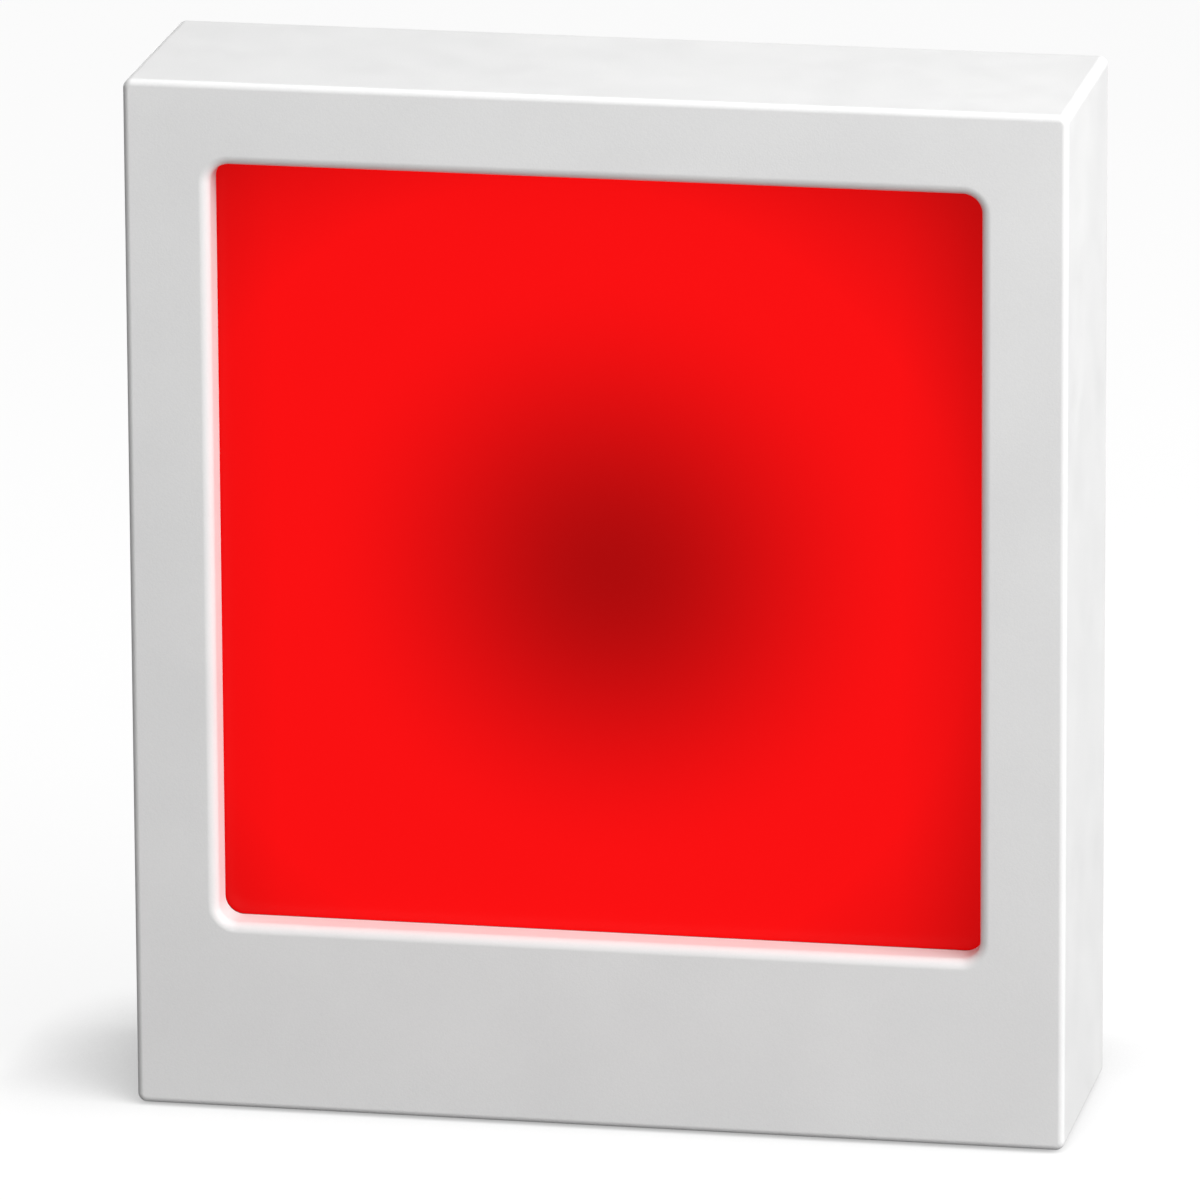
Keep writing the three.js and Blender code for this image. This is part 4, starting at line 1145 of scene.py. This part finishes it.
def contact_spring(side, z):
    """A conical spring that presses on a cell's flat end."""
    points = []
    steps = SPRING_STEPS * SPRING_TURNS
    for step in range(steps + 1):
        turn = SPRING_TURNS * step / steps
        rise = (turn - SPRING_CLOSED_TURNS) / (SPRING_TURNS - 2 * SPRING_CLOSED_TURNS)
        rise = min(max(rise, 0.0), 1.0)
        radius = SPRING_BASE_RADIUS + (SPRING_TIP_RADIUS - SPRING_BASE_RADIUS) * step / steps
        x = side * (CONTACT_FACE - 0.1 - rise * SPRING_LENGTH)
        angle = 2 * math.pi * turn
        points.append(Vector((x, cell_y + radius * math.cos(angle), z + radius * math.sin(angle))))
    return swept(points, SPRING_WIRE_RADIUS)


def contact_dimple(side, z):
    """The pressed bump that a cell's button touches."""
    dome = turned([(0, 0), (2.1, 0), (2.0, 0.25), (1.6, 0.5), (1.0, 0.66), (0, 0.7)], BAR_STEPS)
    turn = ALONG_X if side < 0 else ALONG_X.inverted()
    return moved(dome, (side * (CONTACT_FACE + 0.2), cell_y, z), turn)


def solder_tab(z):
    tab_end = box_mm("battery_positive_contact")[0].x
    return block((tab_end, cell_y - 1.1, z - 0.25), (-CONTACT_FACE - 0.1, cell_y + 1.1, z + 0.25))


def contact(node, plate, *parts):
    joined(plate, *parts)
    finish_node(node, plate, SPRING_STEEL, slot="steel")


plate = contact_plate(-1, low_row_z, low_row_z)
contact("battery_positive_contact", plate, contact_dimple(-1, low_row_z), solder_tab(low_row_z))
plate = contact_plate(-1, high_row_z, high_row_z)
contact("battery_negative_contact", plate, contact_spring(-1, high_row_z), solder_tab(high_row_z))
plate = contact_plate(1, low_row_z, high_row_z)
contact("battery_link_contact", plate, contact_spring(1, low_row_z), contact_dimple(1, high_row_z))

# ---- optics

OPAL = grained_plastic("opal_acrylic", (0.84, 0.84, 0.83), (0.88, 0.88, 0.87), 0.4, 0.6, 0.008)
BRIGHT = grained_plastic("bright_white", (0.87, 0.87, 0.86), (0.91, 0.91, 0.90), 0.55, 0.3, 0.01)
LED_BODY = grained_plastic("led_body", (0.72, 0.71, 0.66), (0.80, 0.79, 0.74), 0.4, 0.2, 0.005)
LED_LENS = grained_plastic("led_lens", (0.55, 0.05, 0.03), (0.70, 0.09, 0.05), 0.15, 0.3, 0.003)


def diffuser():
    """The opal sheet behind the red pane."""
    low, high = box_mm("diffuser")
    sheet = slab(outline_of("diffuser", SHEET_CORNER), low.y, high.y, 0.25)
    finish_node("diffuser", sheet, OPAL)


diffuser()
refined("retaining_frame", BLACK, 0.25)
refined("reflector_tray", BRIGHT, 0.25)
refined("rear_seal", FOAM, 0.1)


def board(name, mask, lighter, copper, trace_mm):
    """A lacquered board: copper tracks that show through the mask, between cells of a grid."""
    finish = Finish(name)
    grid = finish.add("TexVoronoi", feature="DISTANCE_TO_EDGE")
    grid.inputs["Scale"].default_value = 1 / (trace_mm * MM)
    grid.inputs["Randomness"].default_value = 0.2
    finish.link(finish.place, grid.inputs["Vector"])
    track = finish.between(grid.outputs["Distance"], 1.0, 0.0, 0.03, 0.07)
    base = finish.between(finish.noise(4, 3.0), mask, lighter, 0.3, 0.7)
    finish.colour(finish.mixed(track, base, copper))
    finish.rough(finish.between(finish.noise(1.5, 3.0), 0.24, 0.42, 0.3, 0.7))
    finish.bump(track, 0.03)
    return finish.material


GREEN_BOARD = board("circuit_board", (0.008, 0.075, 0.022), (0.010, 0.088, 0.027), (0.015, 0.120, 0.038), 3)
WHITE_BOARD = board("white_board", (0.74, 0.74, 0.72), (0.80, 0.80, 0.78), (0.71, 0.70, 0.67), 4)

refined("led_board", WHITE_BOARD, 0.1)
refined("driver_board", GREEN_BOARD, 0.1)


def light_source(node):
    """A square package: the floor of its round well is the tinted lens."""
    package = bevelled(cad_copy(node), 0.12)
    middle = centre_mm(node)
    front = box_mm(node)[0].y

    def in_well(centre):
        from_axis = math.hypot(centre.x - middle.x, centre.z - middle.z)
        return 1 if centre.y > front + 0.2 and centre.y < front + 0.4 and from_axis < 1.9 else 0

    painted(package, in_well)
    finish_node(node, package, LED_BODY, LED_LENS)


for number in range(1, 9):
    light_source(f"led_{number}")

# ---- driver parts and wires

COPPER = steel("copper", (0.80, 0.40, 0.22), 0.3)
FERRITE = grained_plastic("ferrite", (0.020, 0.020, 0.021), (0.035, 0.034, 0.034), 0.6, 0.3, 0.03)
ALUMINIUM = steel("aluminium", (0.74, 0.75, 0.76), 0.32)
CAPACITOR = grained_plastic("capacitor_sleeve", (0.01, 0.014, 0.03), (0.016, 0.021, 0.042), 0.3, 0.8, 0.006)
STRIPE = grained_plastic("capacitor_stripe", (0.50, 0.51, 0.53), (0.58, 0.59, 0.60), 0.35, 0.8, 0.006)
RED_WIRE = grained_plastic("red_insulation", (0.42, 0.010, 0.008), (0.52, 0.016, 0.012), 0.4, 0.4, 0.01)
BLACK_WIRE = grained_plastic("black_insulation", grey(0.012), grey(0.022), 0.4, 0.4, 0.01)


def driver_inductor():
    """A ferrite drum with its turns of copper wire."""
    low, high = box_mm("driver_inductor")
    middle = (low + high) / 2
    radius = (high.x - low.x) / 2
    height = high.y - low.y
    wire = 0.5
    profile = [(0, 0), (radius - 0.2, 0), (radius, 0.2), (radius, 0.9)]
    profile += [(radius - 0.2, 1.1), (radius - 0.6, 1.1)]
    turns = int((height - 2.4) / wire)
    for turn in range(turns):
        start = 1.2 + turn * wire
        profile += [(radius - 0.65, start), (radius - 0.42, start + 0.25 * wire)]
        profile += [(radius - 0.42, start + 0.75 * wire)]
    profile += [(radius - 0.65, 1.2 + turns * wire), (radius - 0.6, height - 1.1)]
    profile += [(radius - 0.2, height - 1.1), (radius, height - 0.9), (radius, height - 0.2)]
    profile += [(radius - 0.2, height), (0, height)]
    drum = turned(profile, FINE_STEPS)

    def wound(centre):
        return 1 if 1.15 < centre.z < height - 1.15 and centre.xy.length > radius - 1 else 0

    painted(drum, wound)
    moved(drum, (middle.x, low.y, middle.z), ALONG_Y)
    finish_node("driver_inductor", drum, FERRITE, COPPER, slot="copper")


def driver_capacitor():
    """A can with a crimped sleeve, a pale stripe down one side and a scored vent on its end."""
    low, high = box_mm("driver_capacitor")
    middle = (low + high) / 2
    radius = (high.x - low.x) / 2
    height = high.y - low.y
    profile = [(0, 0), (radius - 0.4, 0), (radius, 0.4), (radius, 1.1), (radius - 0.35, 1.5)]
    profile += [(radius, 1.9), (radius, height - 0.5), (radius - 0.15, height - 0.1)]
    profile += [(radius - 0.5, height), (radius - 0.9, height), (radius - 1.1, height - 0.25)]
    profile.append((0, height - 0.25))
    can = turned(profile, FINE_STEPS)
    scores = []
    for turn in (0, math.pi / 2):
        score = block((-radius + 1.6, -0.12, height - 0.4), (radius - 1.6, 0.12, height))
        scores.append(moved(score, turn=Matrix.Rotation(turn, 4, "Z")))
    cut(can, *scores)

    def part_of(centre):
        if centre.xy.length < radius - 1.0 and centre.z > 1:
            return 2
        return 1 if centre.x > 0.87 * radius and centre.z > 1.9 else 0

    painted(can, part_of)
    moved(can, (middle.x, low.y, middle.z), ALONG_Y)
    finish_node("driver_capacitor", can, CAPACITOR, STRIPE, ALUMINIUM)


def driver_chip():
    """The CAD chip with its edges softened and its legs in steel."""
    chip = bevelled(cad_copy("driver_chip"), 0.1)
    middle = centre_mm("driver_chip")
    painted(chip, lambda centre: 1 if abs(centre.z - middle.z) > 3.05 else 0)
    finish_node("driver_chip", chip, BLACK, STEEL)


driver_inductor()
driver_capacitor()
driver_chip()


def insulated_wire(node, material):
    """The CAD wire's own route with a rounder section."""
    piece = cad_copy(node)
    shape = bmesh.new()
    shape.from_mesh(piece.data)
    bmesh.ops.remove_doubles(shape, verts=shape.verts, dist=MERGE_DISTANCE)
    sharp = math.radians(60)
    bmesh.ops.join_triangles(
        shape,
        faces=shape.faces,
        angle_face_threshold=math.radians(40),
        angle_shape_threshold=sharp,
    )
    crease = shape.edges.layers.float.new("crease_edge")
    for edge in shape.edges:
        if edge.calc_face_angle(0.0) > sharp:
            edge[crease] = 1.0
    shape.to_mesh(piece.data)
    shape.free()
    modifier = piece.modifiers.new("round", "SUBSURF")
    modifier.levels = 1
    applied(piece)
    finish_node(node, piece, material, smooth_degrees=60)


for node in ("battery_wire_red", "switch_wire_1", "inlet_wire_red", "led_wire_red"):
    insulated_wire(node, RED_WIRE)
for node in ("battery_wire_black", "switch_wire_2", "inlet_wire_black", "led_wire_black"):
    insulated_wire(node, BLACK_WIRE)

# ---- stage, lights and camera


FLOOR_SIZE = 24
FLOOR_GLOW = 0.825
OPEN_SIDE = (0.6, -0.8, 0.2)  # the floor is shaded only where the case stands on this side of it
SHADE_REACH = 0.032


def floor():
    """A pale sweep, brighter to the camera than to the object, with a close soft painted shadow on one
    side.
    """
    bpy.ops.mesh.primitive_plane_add(size=FLOOR_SIZE)
    plane = bpy.context.object
    plane.name = "floor"
    finish = Finish("floor", roughness=0.9)
    finish.colour(finish.between(finish.noise(400), grey(0.195), grey(0.205)))
    finish.shader.inputs["Specular IOR Level"].default_value = 0.0
    finish.shader.inputs["Emission Color"].default_value = (1, 1, 1, 1)
    open_side = finish.add("CombineXYZ")
    for axis, value in zip("XYZ", OPEN_SIDE):
        open_side.inputs[axis].default_value = value
    # painted shadow: the floor's glow is darkened where the case stands close by on the open side
    shade = finish.add("AmbientOcclusion", samples=8)
    shade.inputs["Distance"].default_value = SHADE_REACH
    finish.link(open_side.outputs["Vector"], shade.inputs["Normal"])
    seen = finish.add("LightPath").outputs["Is Camera Ray"]
    glow = finish.maths("MULTIPLY", finish.maths("MULTIPLY", seen, FLOOR_GLOW), shade.outputs["AO"])
    finish.link(glow, finish.shader.inputs["Emission Strength"])
    plane.data.materials.append(finish.material)


floor()


WORLD_STRENGTH = 0.1


def world():
    """An even white surround, for the light that no soft box gives."""
    sky = bpy.data.worlds.new("studio")
    bpy.context.scene.world = sky
    sky.use_nodes = True
    background = sky.node_tree.nodes["Background"]
    background.inputs["Color"].default_value = (1, 1, 1, 1)
    background.inputs["Strength"].default_value = WORLD_STRENGTH


world()

case_centre = Vector((0, 0, (case_low.z + case_high.z) / 2 * MM))

# Each soft box's direction from the case, its distance and width in metres, and its power.
SOFT_BOXES = {
    "key": ((1, -0.7, 0.9), 2.0, 1.4, 30.2),
    "right": ((1, 0.1, 0.4), 2.0, 1.4, 21.8),
    "front": ((0.1, -1, 0.18), 2.0, 1.4, 11),
    "near_key": ((1, -0.7, 0.9), 0.75, 0.6, 0.63),
    "near_front": ((0.1, -1, 0.7), 0.75, 0.6, 0.46),
    "near_top": ((0.05, 0, 1), 0.75, 0.6, 1.98),
    "behind": ((-0.75, 1, 0.05), 2.0, 0.6, 20),
}


def soft_box(name, direction, distance, width, power):
    """A square lamp that looks at the case's middle and that the camera doesn't see."""
    lamp = bpy.data.lights.new(name, "AREA")
    lamp.shape = "SQUARE"
    lamp.size = width
    lamp.energy = power
    holder = bpy.data.objects.new(name, lamp)
    bpy.context.scene.collection.objects.link(holder)
    towards = Vector(direction).normalized()
    holder.location = case_centre + towards * distance
    holder.rotation_euler = (-towards).to_track_quat("-Z", "Y").to_euler()
    holder.visible_camera = False


for name, settings in SOFT_BOXES.items():
    soft_box(name, *settings)

AZIMUTH = 0.188397
ELEVATION = 0.274415
ROLL = -0.0052811
DISTANCE = 14.152  # in case widths, as the two offsets
RIGHT_OFFSET = -0.02033
UP_OFFSET = -0.018227
FOCAL_WIDTHS = 11.138333  # focal length over the picture's width
SENSOR = 36


def camera():
    """The photo's view, fitted to the case's edges."""
    width = (outer_case.right - outer_case.left) * MM
    back = Vector((
        math.sin(AZIMUTH) * math.cos(ELEVATION),
        -math.cos(AZIMUTH) * math.cos(ELEVATION),
        math.sin(ELEVATION),
    ))
    level_right = Vector((math.cos(AZIMUTH), math.sin(AZIMUTH), 0))
    level_up = back.cross(level_right)
    right = level_right * math.cos(ROLL) + level_up * math.sin(ROLL)
    up = level_up * math.cos(ROLL) - level_right * math.sin(ROLL)
    lens = bpy.data.cameras.new("camera")
    lens.sensor_width = SENSOR
    lens.lens = SENSOR * FOCAL_WIDTHS
    lens.clip_end = 100
    holder = bpy.data.objects.new("camera", lens)
    bpy.context.scene.collection.objects.link(holder)
    place = case_centre + width * (back * DISTANCE + right * RIGHT_OFFSET + up * UP_OFFSET)
    holder.matrix_world = Matrix.Translation(place) @ Matrix((right, up, back)).transposed().to_4x4()
    bpy.context.scene.camera = holder


camera()
bpy.context.scene.view_settings.view_transform = "Standard"
